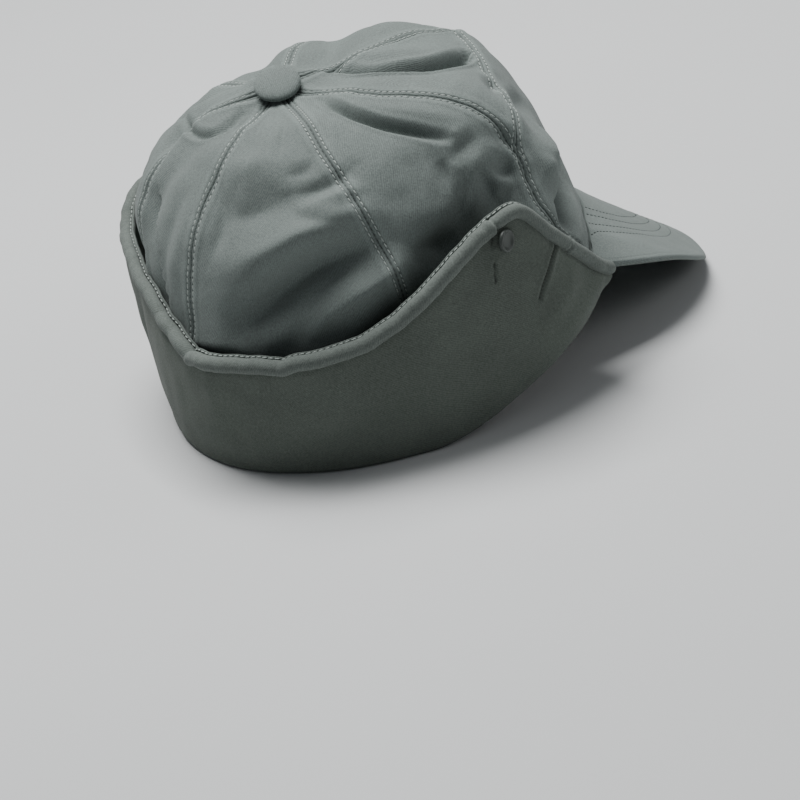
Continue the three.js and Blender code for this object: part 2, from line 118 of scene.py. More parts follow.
SIDE_LOW = {"down": [0.7, 0.79, 0.87, 1], "azimuth": [65, 67, 62.5, 52]}

# Each fold runs from one point to another by way of a third, each an azimuth and a
# share of the way down. A negative depth is a ridge.
FOLDS = table(
    "through width depth",
    ([(5, 0.16), (44, 0.3), (31, 0.52)], 5, 2.4),
    ([(100, 0.13), (95, 0.28), (82, 0.5)], 5, 1),
    ([(116, 0.68), (127, 0.76), (140, 0.85)], 9, 2),
    ([(120, 0.55), (130, 0.62), (145, 0.7)], 9, -1),
    ([(169, 0.1), (171, 0.17), (170, 0.25)], 4, 2),
    ([(92, 0.72), (97, 0.74), (101, 0.77)], 8, 4),
    ([(88, 0.55), (88, 0.6), (88, 0.66)], 6, 1.2),
    ([(68, 0.72), (82, 0.75), (98, 0.78)], 14, 7),
    ([(68, 0.62), (70, 0.67), (71, 0.72)], 6, 2.5),
    ([(61, 0.76), (58, 0.82), (54, 0.88)], 6, 3),
    ([(-30, 0.14), (-50, 0.3), (-58, 0.48)], 10, 6),
    ([(-100, 0.15), (-92, 0.3), (-86, 0.48)], 7, 3),
    ([(-120, 0.6), (-132, 0.7), (-145, 0.8)], 9, 3.5),
    ([(186, 0.35), (189, 0.5), (190, 0.68)], 8, 3),
    ([(-66, 0.66), (-62, 0.76), (-56, 0.86)], 7, 3),
    ([(-70, 0.22), (-90, 0.24), (-112, 0.24)], 15, 4),
    ([(-12, 0.36), (-24, 0.42), (-32, 0.5)], 16, -4.5),
)

# Finer creases run through points of the same kind. On the left of the way they run, seen
# from outside, they fall away over the soft width, and on the right over the sharp one. A
# power above the usual one makes the sides steeper and the crease's floor flatter. Along a
# crease, so many degrees are as far as this share of the way down.
USUAL_POWER = 1.7
DEGREES_AS_FAR = 60
SHARE_AS_FAR = 0.5
CREASES = table(
    "through soft sharp depth power",
    ([(9, 0.127), (32, 0.182), (44.5, 0.267), (43, 0.39), (27, 0.55)], 3, 1.6, 11, 2.4),
    ([(-8, 0.14), (14, 0.26), (28, 0.36), (22, 0.5)], 8, 7, -3.2),
    ([(84, 0.13), (94.5, 0.22), (93, 0.33), (87.5, 0.43), (80, 0.52)], 1.9, 1.5, 4, 1.8),
    ([(84, 0.16), (86, 0.28), (80, 0.4), (72, 0.5)], 4, 4, -1.2),
    ([(-46, 0.15), (-58, 0.21), (-76, 0.24)], 7, 7, 2.4),
    ([(95, 0.2), (106, 0.27), (110, 0.33)], 1.2, 3, 0.9),
    ([(224, 0.4), (196, 0.31), (177, 0.24), (180, 0.14)], 2, 1.2, 2.6),
    ([(176, 0.83), (178, 0.74), (182, 0.65), (190, 0.54)], 7, 1.2, 4.6),
    ([(182, 0.88), (187, 0.79), (192, 0.69)], 2.6, 1.1, -2.4),
    ([(152, 0.7), (140, 0.65), (128, 0.615), (114, 0.6)], 7, 8, -4),
    ([(148, 0.8), (137, 0.74), (126, 0.695), (114, 0.68)], 6, 6, 9.5),
    ([(134, 0.83), (127, 0.79), (119, 0.765), (109, 0.73)], 4, 4, -4),
    ([(126, 0.86), (116, 0.83), (104, 0.79)], 5, 8, 6),
    ([(178, 0.87), (165, 0.86), (148, 0.86)], 4, 8, 6),
    ([(104, 0.71), (98, 0.735), (91, 0.75)], 6, 5, 4.6),
    ([(130, 0.5), (119, 0.5), (110, 0.47)], 2.5, 4, 1.6),
    ([(128, 0.55), (120, 0.535), (112, 0.53)], 2, 2.6, -1.2),
    ([(150, 0.13), (146, 0.24), (146, 0.37)], 2, 2.4, 1.2),
    ([(128, 0.13), (130, 0.24), (133, 0.36)], 2.4, 2, 1.2),
    ([(139, 0.12), (137, 0.2), (138, 0.29)], 1.6, 1.8, 0.7),
    ([(123, 0.36), (121, 0.4), (124, 0.43), (132, 0.43)], 3, 2.6, 1.1),
    ([(157, 0.375), (145, 0.38), (131, 0.375)], 9, 8, -1.8),
    ([(156, 0.54), (144, 0.535), (130, 0.51)], 10, 8, 2.5),
    ([(84, 0.575), (79, 0.56), (73, 0.565)], 3, 4, 2.6),
    ([(68, 0.58), (66, 0.62), (64, 0.67)], 3, 3, 2.2),
    ([(213, 0.22), (207, 0.34), (200, 0.45)], 5, 4, 2.4),
    ([(158, 0.42), (154, 0.52), (156, 0.66)], 3.2, 4.5, 1.8),
    ([(148, 0.42), (150, 0.48), (147, 0.56)], 3, 3.6, 1.1),
    ([(86, 0.55), (87, 0.59), (89, 0.64)], 2.4, 3, 1.8),
    ([(83, 0.6), (85, 0.65), (89, 0.7)], 2.6, 4, 1.8),
    ([(84, 0.56), (86, 0.6), (88, 0.64)], 2.4, 2.4, -1.2),
    ([(75, 0.64), (72, 0.67), (68, 0.7)], 3.4, 2.2, 2),
    ([(78, 0.72), (75, 0.7), (70, 0.72)], 3, 3, -1.2),
    ([(52, 0.55), (47, 0.57), (40, 0.62)], 3, 2.4, 2),
    ([(50, 0.66), (36, 0.71), (24, 0.76)], 3.6, 4, 1.6),
    ([(66, 0.755), (56, 0.765), (46, 0.78), (34, 0.8)], 6, 5, -4),
    ([(62, 0.86), (54, 0.87), (45, 0.885), (32, 0.9)], 7, 6, 10),
    ([(56, 0.74), (54, 0.79), (51, 0.84)], 2, 2.4, 1.6),
    ([(80, 0.62), (78, 0.68), (77, 0.74)], 4, 5, 2.4),
    ([(132, 0.55), (124, 0.6), (116, 0.61)], 2.2, 3, 1.2),
    ([(170, 0.45), (175, 0.6), (176, 0.76)], 4, 6, 1.6),
    ([(-98, 0.18), (-112, 0.26), (-126, 0.36)], 9, 9, -2),
    ([(-20, 0.6), (-34, 0.66), (-44, 0.76)], 5, 3, 2),
    ([(10, 0.66), (2, 0.75), (-10, 0.84)], 6, 4, 1.6),
    ([(-78, 0.5), (-84, 0.6), (-84, 0.72)], 4, 3, 2.2),
    ([(-96, 0.62), (-106, 0.68), (-120, 0.68)], 5, 3, 2.6),
    ([(-128, 0.25), (-134, 0.4), (-132, 0.54)], 4, 3, 1.8),
    ([(-150, 0.5), (-146, 0.62), (-150, 0.76)], 5, 3, 2),
)

# Over the flap's section, from the hem to the facing inside: the wall, the fold, the part
# that it rests on and the turn inwards each end at these shares. The wall's own height
# runs from its top to its foot.
WALL = 0.72
FOLD = 0.82
REST = 0.86
INSIDE = 0.92
WALL_TOP = 1.008
WALL_FOOT = 0.07
# From this value on, a point's seam value is its distance to the flap's sewn lines, along which the twill
# carries painted shade.
SEWN_LINE = 20
NO_SEAM = 12.0

FLAP = {
    "azimuth": [57, 62, 68, 75, 82, 90, 98, 106, 114, 122, 135, 150, 157, 161, 165, 170, 180,
                192, 205, 212, 228, 245, 262, 278, 292, 303],
    "height": [41.5, 49, 59.5, 73, 86, 82.5, 75.5, 66.5, 59, 54, 51.5, 50.5, 50, 50, 51.5, 54, 60,
               66, 70, 72, 79, 80, 82, 86, 62, 42],
    "stand_off": [9, 7.5, 6, 5.5, 5, 6, 7, 7.5, 8, 9, 10, 7.7, 7.4, 5.3, 4.3, 2.3, 1.2,
                  3, 5.3, 6.8, 6.6, 8, 6, 5, 6, 9],
}
# Azimuths of the rolled hem's joint and of its seam on the right, and its small dips, each
# an azimuth, a width in degrees and a drop
HEM_JOINT = 87.2
HEM_SEAM = 70.3
HEM_KINKS = [(163, 2.2, 1.5), (138, 2.2, 1.2), (178, 3, 0.8)]
PEAK_EDGE = {"turn": [0, 20, 30, 45, 65, 90], "height": [3.2, 4, 6.5, 15, 28.5, 42]}
PEAK_ROWS = {"half": [0.4, 0.5, 0.64, 0.77], "front": [0.6, 0.7, 0.78, 0.85]}


def length(name, description, default, smallest=0.0005):
    return bpy.props.FloatProperty(name=name, description=description, default=default, min=smallest,
                                   unit="LENGTH")


def angle(name, description, degrees):
    return bpy.props.FloatProperty(name=name, description=description, default=math.radians(degrees),
                                   subtype="ANGLE", unit="ROTATION")


def colour(name, description, default):
    return bpy.props.FloatVectorProperty(name=name, description=description, default=default, size=3,
                                         min=0, max=1, subtype="COLOR")


class CapSizes(bpy.types.PropertyGroup):
    crown_cloth: length("Crown cloth", "Thickness of the crown's cloth with its seam allowances", 0.0016)
    flap_cloth: length("Flap cloth", "Thickness of the flap's two layers", 0.0018)
    peak_thick: length("Peak", "Thickness of the peak", 0.0026, 0.001)
    hem_radius: length("Hem radius", "Radius of the rolled hem", 0.0026, 0.001)
    button_radius: length("Top button radius", "Radius of the cloth-covered button", 0.0095, 0.003)
    flap_button_radius: length("Flap button radius", "Radius of the sewn buttons", 0.0046, 0.002)
    row_offset: length("Stitch row", "Distance of a stitch row from its seam", 0.0017)
    stitch_step: length("Stitch length", "Length of one stitch with its gap", 0.0026, 0.001)
    thread_radius: length("Thread radius", "Radius of the sewing thread", 0.0003, 0.0001)


class CapColours(bpy.types.PropertyGroup):
    twill: colour("Twill", "Colour of the grey-green twill", (0.15, 0.175, 0.165))
    # Painted shade: the flap is the same twill as the crown, given this darker, less blue colour for the
    # shade and warm bounced light on its wall.
    flap: colour("Flap twill", "Colour of the flap's darker twill", (0.096, 0.112, 0.097))
    hem: colour("Hem twill", "Colour of the rolled hem's twill", (0.12, 0.138, 0.126))
    thread: colour("Thread", "Colour of the sewing thread", (0.36, 0.4, 0.375))
    row: colour("Peak rows", "Colour of the sunken stitches on the peak", (0.03, 0.036, 0.033))
    button: colour("Button", "Colour of the small sewn buttons", (0.038, 0.046, 0.041))
    floor: colour("Floor", "Colour of the plain floor", (0.56, 0.57, 0.57))


class CapStage(bpy.types.PropertyGroup):
    azimuth: angle("Azimuth", "Direction of the camera round the cap, 0 looking along +Y", 246)
    elevation: angle("Elevation", "Height of the camera above the horizon", 26)
    roll: angle("Roll", "Lean of the cap in the picture", 12)
    distance: length("Distance", "Distance of the camera from the cap", 1.1, 0.1)
    lens: bpy.props.FloatProperty(name="Lens", description="Focal length on a 36 mm sensor",
                                  default=116.325, min=10, unit="CAMERA")


def hermite(xs, ys):
    """Monotone interpolation through table columns. Rows of ys may hold many columns."""
    xs = np.asarray(xs, float)
    ys = np.asarray(ys, float)
    gaps = np.diff(xs).reshape((-1,) + (1,) * (ys.ndim - 1))
    slope = np.diff(ys, axis=0) / gaps
    product = slope[:-1] * slope[1:]
    total = slope[:-1] + slope[1:]
    safe = np.where(product > 0, total, 1)
    inner = np.where(product > 0, 2 * product / safe, 0)
    tangent = np.concatenate([slope[:1], inner, slope[-1:]])

    def at(x):
        x = np.atleast_1d(np.asarray(x, float))
        i = np.clip(np.searchsorted(xs, x, side="right") - 1, 0, len(xs) - 2)
        h = xs[i + 1] - xs[i]
        t = np.clip((x - xs[i]) / h, 0, 1)
        column = np.arange(len(x))
        pick = (lambda c, k: c[k]) if ys.ndim == 1 else (lambda c, k: c[k, column])
        t2 = t * t
        t3 = t2 * t
        return ((2 * t3 - 3 * t2 + 1) * pick(ys, i) + (t3 - 2 * t2 + t) * h * pick(tangent, i)
                + (3 * t2 - 2 * t3) * pick(ys, i + 1) + (t3 - t2) * h * pick(tangent, i + 1))

    return at


def half_turn(a):
    return np.abs((np.asarray(a, float) + 180) % 360 - 180)


rim_of = hermite(RIM["azimuth"], RIM["radius"])
PROFILE_AT = [row["azimuth"] for row in PROFILE]
out_of = [hermite(PROFILE_AT, [row["out"][k] for row in PROFILE]) for k in range(len(STATIONS))]
up_of = [hermite(PROFILE_AT, [row["up"][k] for row in PROFILE]) for k in range(len(STATIONS))]
seam_of = {name: hermite(SEAM_DOWN, column) for name, column in SEAMS.items()}
front_azimuth = hermite(FRONT_SEAM["along"], FRONT_SEAM["azimuth"])
front_down = hermite(FRONT_SEAM["along"], FRONT_SEAM["down"])
side_low = hermite(SIDE_LOW["down"], SIDE_LOW["azimuth"])
flap_height_of = hermite(FLAP["azimuth"], FLAP["height"])
flap_stand_of = hermite(FLAP["azimuth"], FLAP["stand_off"])
peak_edge_of = hermite(PEAK_EDGE["turn"], PEAK_EDGE["height"])


def push_share(a):
    return np.exp(-((np.asarray(a, float) % 360 - PUSH["azimuth"]) / PUSH["width"]) ** 2)


def rim_radius(a):
    return rim_of(half_turn(a)) - PUSH["rim"] * push_share(a)


def smooth_step(x):
    x = np.clip(x, 0, 1)
    return x * x * (3 - 2 * x)


def fold_height(a):
    c = np.clip((np.cos(np.radians(a)) + 0.35) / 0.895, 0, 1.25)
    return FRONT_LIFT * c ** 1.4


def on_plan(a, r, z):
    turn = np.radians(a)
    return np.stack(np.broadcast_arrays(-r * np.sin(turn), -r * np.cos(turn), z), -1)


def crown_smooth(a, t):
    """The crown before its folds: a is the azimuth, t the share of the way down."""
    a, t = np.broadcast_arrays(np.atleast_1d(np.asarray(a, float)), np.atleast_1d(np.asarray(t, float)))
    h = half_turn(a)
    out = hermite(STATIONS, np.stack([f(h) for f in out_of]))(t)
    up = hermite(STATIONS, np.stack([f(h) for f in up_of]))(t)
    pushed = PUSH["crown"] * smooth_step((t - 0.6) / 0.28)
    pushed -= (PUSH["crown"] - PUSH["rim"]) * smooth_step((t - 0.87) / 0.13)
    rim = on_plan(a, rim_of(h) - pushed * push_share(a), 0)
    start = fold_height(a) + CROWN_START
    dx = (rim[:, 0] - CROWN_TOP[0]) * out
    dy = (rim[:, 1] - CROWN_TOP[1]) * out
    lean = on_plan(LEAN["azimuth"], 1, 0)
    toward = dx * lean[0] + dy * lean[1]
    slope = np.where(toward > 0, LEAN["slope"], LEAN["far_slope"])
    reach = np.where(toward > 0, LEAN["reach"], LEAN["far_reach"])
    tilt = slope * toward * np.exp(-(dx * dx + dy * dy) / reach ** 2)
    z = start + (CROWN_TOP[2] - start) * up - tilt
    return np.stack([CROWN_TOP[0] + dx, CROWN_TOP[1] + dy, z], -1)


def unit(v):
    return v / np.maximum(np.linalg.norm(v, axis=-1, keepdims=True), 1e-9)


def crown_normal(a, t):
    da = crown_smooth(a + 0.6, t) - crown_smooth(a - 0.6, t)
    dt = crown_smooth(a, np.minimum(t + 0.004, 1)) - crown_smooth(a, np.maximum(t - 0.004, 0.01))
    return unit(np.cross(da, dt))


class Line:
    """A line over a surface that points can measure their distance to."""

    def __init__(self, points):
        self.points = points
        self.start = points[:-1]
        self.step = np.diff(points, axis=0)
        self.square = (self.step ** 2).sum(-1)
        lengths = np.sqrt(self.square)
        self.along = np.concatenate([[0], np.cumsum(lengths)])
        self.length = self.along[-1]

    def near(self, p):
        """Distance from each point, and how far along the line its nearest place is."""
        best = np.full(len(p), np.inf)
        where = np.zeros(len(p))
        for i in range(len(self.start)):
            rel = p - self.start[i]
            s = np.clip(rel @ self.step[i] / self.square[i], 0, 1)
            d = np.linalg.norm(rel - s[:, None] * self.step[i], axis=1)
            closer = d < best
            best = np.where(closer, d, best)
            where = np.where(closer, self.along[i] + s * (self.along[i + 1] - self.along[i]), where)
        return best, where

    def read(self, values, where):
        """Values given at the line's points, read part of the way along it."""
        return np.stack([np.interp(where, self.along, column) for column in values.T], -1)

    def side(self, p, normal, where):
        """Positive on the left of the line's direction, seen from outside."""
        at = self.read(self.points, where)
        i = np.clip(np.searchsorted(self.along, where, side="right") - 1, 0, len(self.step) - 1)
        return (np.cross(normal, self.step[i]) * (p - at)).sum(-1)


def path_through(points, count, even=False):
    """A smooth path through points of azimuth and share, reached evenly or by their distance."""
    points = np.array(points, float)
    gaps = np.hypot(*(np.diff(points, axis=0) / (DEGREES_AS_FAR, SHARE_AS_FAR)).T)
    at = np.linspace(0, 1, len(points)) if even else np.concatenate([[0], np.cumsum(gaps)])
    u = np.linspace(0, at[-1], count)
    return [np.polyval(np.polyfit(at, column, len(at) - 1), u) for column in points.T]


def noise_at(p, size, seed=0.0):
    offset = Vector((seed, seed * 1.7, -seed))
    return np.array([noise.noise(Vector(q) + offset) for q in np.asarray(p) / size])


def bump(d, width):
    return np.exp(-(d / width) ** 2)


# Seams and folds over the crown, each as a line on the smooth crown

def side_front_azimuth(t):
    t = np.atleast_1d(t)
    return np.where(t < SIDE_LOW["down"][0], seam_of["side_front"](t), side_low(t))


# The first points of a seam's line lie under the top button, where no stitch shows.
UNDER_BUTTON = 4
# Shares of the way down at which the seams are read: to the lower edge, to the front
# panel's side and to its top. The panel's own seam is read from one end to the other.
SEAM_T = np.linspace(0.02, 1, 50)
TOP_T = np.linspace(0.02, 0.7, 36)
CENTRE_T = np.linspace(0.02, 0.585, 30)
FRONT_W = np.linspace(-1, 1, 121)
CROWN_SEAMS = {
    "centre": (np.zeros(len(CENTRE_T)), CENTRE_T),
    "side_front_right": (seam_of["side_front"](TOP_T), TOP_T),
    "side_front_left": (-seam_of["side_front"](TOP_T), TOP_T),
    "side_back_right": (seam_of["side_back"](SEAM_T), SEAM_T),
    "side_back_left": (-seam_of["side_back"](SEAM_T), SEAM_T),
    "rear_right": (seam_of["rear"](SEAM_T), SEAM_T),
    "rear_left": (-seam_of["rear"](SEAM_T), SEAM_T),
    "front_panel": (front_azimuth(np.abs(FRONT_W)) * np.sign(FRONT_W), front_down(np.abs(FRONT_W))),
}
SEAM_LINES = {name: Line(crown_smooth(*place)) for name, place in CROWN_SEAMS.items()}
for fold in FOLDS:
    fold["line"] = Line(crown_smooth(*path_through(fold["through"], 16, even=True)))
for crease in CREASES:
    crease["line"] = Line(crown_smooth(*path_through(crease["through"], 22)))


def fold_depth(p):
    total = np.zeros(len(p))
    for fold in FOLDS:
        d, where = fold["line"].near(p)
        taper = 0.35 + 0.65 * np.sin(np.pi * (0.12 + 0.76 * where / fold["line"].length))
        total += fold["depth"] * taper * bump(d, fold["width"])
    return total


def crease_depth(p, normal):
    total = np.zeros(len(p))
    for crease in CREASES:
        line = crease["line"]
        d, where = line.near(p)
        close = d < 3.5 * max(crease["soft"], crease["sharp"])
        if not close.any():
            continue
        d, where = d[close], where[close]
        side = line.side(p[close], normal[close], where)
        x = d / np.where(side > 0, crease["soft"], crease["sharp"])
        taper = np.sin(np.pi * (0.05 + 0.9 * where / line.length)) ** 0.7
        shoulder = 0.16 * bump(x - 2.1, 0.7)
        fall = np.exp(-x ** crease.get("power", USUAL_POWER))
        total[close] += crease["depth"] * taper * (fall - shoulder)
    return total


# Half the width of a seam's groove, and how far its raised allowance reaches
GROOVE = 0.34
ALLOWANCE = 4.6


def seam_relief(d, where, row, seed):
    """Groove, stitch furrow and raised allowance beside a topstitched seam."""
    groove = -0.36 * bump(d, GROOVE)
    furrow = -0.4 * bump(d - row, 0.45)
    raised = 0.36 / (1 + np.exp((d - ALLOWANCE) / 0.35)) * (1 - bump(d, 0.8))
    along = np.stack([where / 6.5, np.full_like(where, seed), np.full_like(where, 0.3)], -1)
    pucker = noise_at(along, 1.0) * 0.75 * np.exp(-d / 5.0)
    return groove + furrow + raised + pucker


def crown_height(p, t, row, normal):
    """How far the cloth stands off the smooth crown, outwards."""
    quiet = np.minimum(1, (1 - t) / QUIET)
    height = -(fold_depth(p) + crease_depth(p, normal)) * quiet
    nearest = np.full(len(p), 60.0)
    for k, line in enumerate(SEAM_LINES.values()):
        d, where = line.near(p)
        close = d < 16
        height[close] += seam_relief(d[close], where[close], row, 3.1 * k)
        nearest = np.minimum(nearest, d)
    height += 0.9 * (1 - np.exp(-nearest / 9)) * quiet
    height += 0.9 * noise_at(p, 19, 2.0) * quiet + 0.32 * noise_at(p, 8, 5.0) * quiet
    return height, nearest


def crown_cloth(a, t, row):
    p = crown_smooth(a, t)
    normal = crown_normal(a, t)
    height, nearest = crown_height(p, t, row, normal)
    return p + normal * height[:, None], nearest


# Meshes

def sheet_from_grid(name, columns, rows, place, turn=(1, 1)):
    """A grid of cloth. place(u, v) gives points in mm, and the distances to seams that drive pale worn edges
    and painted shade.
    """
    bm = bmesh.new()
    bmesh.ops.create_grid(bm, x_segments=columns, y_segments=rows, size=0.5)
    flat = np.round(np.array([v.co[:2] for v in bm.verts]) + 0.5, 6)
    points, wear_and_shade_distance = place(np.clip(flat[:, 0], 0, 1), np.clip(flat[:, 1], 0, 1))
    weave = cloth_lengths(points, flat, columns, rows) * turn
    points = points + ORIGIN_SHIFT
    for vert, p in zip(bm.verts, points * METRE):
        vert.co = p
    return finish_mesh(name, bm, weave, wear_and_shade_distance)


def cloth_lengths(points, flat, columns, rows):
    """How far each point lies along the cloth's own two ways, so that a weave isn't stretched."""
    order = np.lexsort((flat[:, 0], flat[:, 1]))
    grid = points[order].reshape(rows + 1, columns + 1, 3)
    across = np.zeros(grid.shape[:2])
    along = np.zeros(grid.shape[:2])
    across[:, 1:] = np.cumsum(np.linalg.norm(np.diff(grid, axis=1), axis=2), axis=1)
    along[1:] = np.cumsum(np.linalg.norm(np.diff(grid, axis=0), axis=2), axis=0)
    across -= across[:, columns // 2][:, None]
    lengths = np.empty((len(points), 2))
    lengths[order] = np.stack([across, along], -1).reshape(-1, 2)
    return lengths


def add_piece(name, fill):
    """Makes a smooth piece out of a new mesh, once this has been filled."""
    mesh = bpy.data.meshes.new(name)
    fill(mesh)
    mesh.shade_smooth()
    piece = bpy.data.objects.new(name, mesh)
    bpy.context.collection.objects.link(piece)
    return piece


def finish_mesh(name, bm, weave=None, wear_and_shade_distance=None, outward=None):
    """Turns the faces outwards, and keeps with the piece the weave's lengths and the seam distances, which
    drive pale worn edges and painted shade.
    """
    bm.normal_update()
    faces = list(bm.faces)
    middle = faces[len(faces) // 3]
    centre = Vector(ORIGIN_SHIFT * METRE) + Vector((0, 0, 0.05)) if outward is None else Vector(outward)
    if middle.normal.dot(middle.calc_center_median() - centre) < 0:
        bmesh.ops.reverse_faces(bm, faces=faces)
    piece = add_piece(name, bm.to_mesh)
    bm.free()
    mesh = piece.data
    if weave is not None:
        loops = np.empty(len(mesh.loops), dtype=np.int32)
        mesh.loops.foreach_get("vertex_index", loops)
        layer = mesh.uv_layers.new(name="weave")
        layer.data.foreach_set("uv", (weave * METRE * 10)[loops].astype(np.float32).ravel())
        # The seam attribute drives the pale worn seam edges and the painted shade in seam grooves and beside
        # stitch rows; the crease attribute is painted shade along the flap's sewn lines.
        for key, values in (("seam", wear_and_shade_distance), ("crease", bump(wear_and_shade_distance - SEWN_LINE, 0.4))):
            layer = mesh.attributes.new(key, "FLOAT", "POINT")
            layer.data.foreach_set("value", values.astype(np.float32))
    return piece


def close_mesh(piece):
    """Joins a rolled-up grid along its seam and fills its open ends."""
    bm = bmesh.new()
    bm.from_mesh(piece.data)
    bmesh.ops.remove_doubles(bm, verts=bm.verts, dist=1e-6)
    bmesh.ops.holes_fill(bm, edges=[edge for edge in bm.edges if edge.is_boundary], sides=0)
    bmesh.ops.recalc_face_normals(bm, faces=bm.faces)
    bm.to_mesh(piece.data)
    bm.free()
    piece.data.shade_smooth()
    return piece


def add_thickness(piece, thickness):
    wall = piece.modifiers.new("wall", "SOLIDIFY")
    wall.thickness = thickness
    wall.offset = -1
    wall.use_even_offset = False


def attach(piece, slot, *nodes, coat=None):
    """Gives a piece its look, which is its slot's own unless it has another coat, and its place."""
    piece.data.materials.append(material(coat or slot))
    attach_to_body(piece, "root")
    if nodes:
        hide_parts(*nodes)


def crowd_ends(u, pull=0.82):
    """Spreads a grid's columns so that they lie closest together at both seams."""
    return u - pull * np.sin(2 * np.pi * u) / (2 * np.pi)


def crowd_end(v, pull=0.75):
    """Spreads rows so that they lie closest together at the far end."""
    return v + pull * np.sin(np.pi * v) / np.pi


def front_seam_down(a):
    """How far down the front panel's seam lies at an azimuth, found by halving."""
    lo = np.zeros_like(a)
    hi = np.full_like(a, CORNER)
    for _ in range(26):
        mid = (lo + hi) / 2
        below = front_azimuth(mid) < np.abs(a)
        lo = np.where(below, mid, lo)
        hi = np.where(below, hi, mid)
    return front_down(lo)


def gore_place(left, right, stops, mirror, row):
    def place(u, v):
        w = crowd_ends(u)
        if stops:
            t = HOLE + (0.5 - HOLE) * v
            for _ in range(4):
                a = left(t) + (right(t) - left(t)) * w
                end = front_seam_down(np.clip(a, 0, PANEL_SIDE))
                t = HOLE + (end - HOLE) * crowd_end(v)
        else:
            t = HOLE + (1 - HOLE) * v
            a = left(t) + (right(t) - left(t)) * w
        points, near = crown_cloth(a * (-1 if mirror else 1), t, row)
        return points, np.minimum(near, NO_SEAM)
    return place


def panel_place(row):
    def place(u, v):
        w = np.abs(2 * u - 1)
        sign = np.sign(2 * u - 1)
        top_a = front_azimuth(w)
        top_t = front_down(w)
        low_a = PANEL_FOOT * w
        share = crowd_end(v)
        a = (low_a + (top_a - low_a) * share) * sign
        t = 1 + (top_t - 1) * share
        points, near = crown_cloth(a, t, row)
        return points, np.minimum(near, NO_SEAM)
    return place


# Flap

FLAP_CREASES = table(
    "through width depth",
    ([(89.2, 0.85), (89.4, 0.81), (89.7, 0.75)], 0.6, 0.6),
    ([(88.1, 1.0), (88.3, 0.975), (88.6, 0.94)], 0.8, 0.8),
    ([(72.8, 1.0), (76.6, 0.71), (79.8, 0.49)], 0.7, 1.3),
    ([(270.8, 0.85), (270.6, 0.81), (270.3, 0.75)], 0.6, 0.6),
    ([(287.2, 1.0), (283.4, 0.71), (280.2, 0.49)], 0.7, 1.3),
    ([(104, 0.75), (100, 0.55), (93, 0.35)], 7, 1.6),
    ([(68, 0.8), (72, 0.55), (80, 0.3)], 5, -1.2),
    ([(59, 0.3), (67, 0.26), (76, 0.2)], 9, -2.6),
    ([(60, 0.9), (66, 0.84), (70, 0.78)], 7, 1.4),
    ([(118, 0.5), (128, 0.32), (140, 0.2)], 9, 1.2),
    ([(150, 0.75), (154, 0.5), (156, 0.25)], 8, 1.2),
    ([(196, 0.9), (199, 0.5), (197, 0.15)], 5, 1.6),
    ([(214, 0.92), (210, 0.55), (213, 0.2)], 6, 1.8),
    ([(232, 0.8), (235, 0.5), (233, 0.2)], 7, 1.4),
    ([(250, 0.85), (247, 0.6), (250, 0.3)], 6, 1.5),
)


def flap_outer(a, v, hem):
    low = fold_height(a)
    z = low + (flap_height_of(a) - hem * 0.9 - low) * v
    swell = 2.2 * np.sin(np.pi * np.clip(v, 0, 1))
    swell -= 2.8 * (bump(a - FLAP_FRONT, 10) + bump(a - 360 + FLAP_FRONT, 10)) * np.sqrt(np.clip(1 - v, 0, 1))
    r = rim_radius(a) + 3.6 + (flap_stand_of(a) - 2.2) * np.clip(v, 0, 2) ** 1.3 + swell
    return r, z


def wall_height(s):
    return WALL_TOP - (WALL_TOP - WALL_FOOT) * s / WALL


def flap_path(a, s, hem):
    """Radius and height over the flap's section, from the hem to the turn inwards."""
    rim = rim_radius(a)
    low = fold_height(a)
    wall = flap_outer(a, wall_height(s), hem)
    foot_r, foot_z = flap_outer(a, np.full_like(a, WALL_FOOT), hem)
    turn, flat, inner = (np.clip((s - start) / (end - start), 0, 1)
                         for start, end in ((WALL, FOLD), (FOLD, REST), (REST, INSIDE)))
    outer = rim + 1.6
    edge = outer - 3.2
    end = rim - 4.2
    fold = (bezier(foot_r, foot_r - 0.1, outer + 1.7, outer, turn),
            bezier(foot_z, foot_z - (foot_z - low) * 0.72, low, low, turn))
    rest = (outer - 3.2 * flat, low)
    inside = (bezier(edge, outer - 5.0, end, end, inner),
              bezier(low, low, low + 1.4, low + CROWN_START, inner))
    where = [s <= WALL, s <= FOLD, s <= REST, s <= INSIDE]
    return [np.select(where, parts, 0) for parts in zip(wall, fold, rest, inside)]


def bezier(p0, p1, p2, p3, t):
    return (1 - t) ** 3 * p0 + 3 * (1 - t) ** 2 * t * p1 + 3 * (1 - t) * t * t * p2 + t ** 3 * p3


def flap_point(a, s, hem):
    r, z = flap_path(a, s, hem)
    p = on_plan(a, r, z)
    facing = s > INSIDE
    if facing.any():
        a = a[facing]
        t = 1 - (1 - FACING_TOP) * (s[facing] - INSIDE) / (1 - INSIDE)
        crown = crown_smooth(a, t)
        sink = 4.2 + fold_depth(crown) * np.minimum(1, (1 - t) / QUIET)
        p[facing] = crown - crown_normal(a, t) * sink[:, None]
    return p


def flap_wall(a, v, hem):
    return on_plan(a, *flap_outer(a, v, hem))


def flap_lines(hem):
    for crease in FLAP_CREASES:
        path = path_through(crease["through"], 16, even=True)
        yield Line(flap_wall(*path, hem)), crease["width"], crease["depth"]


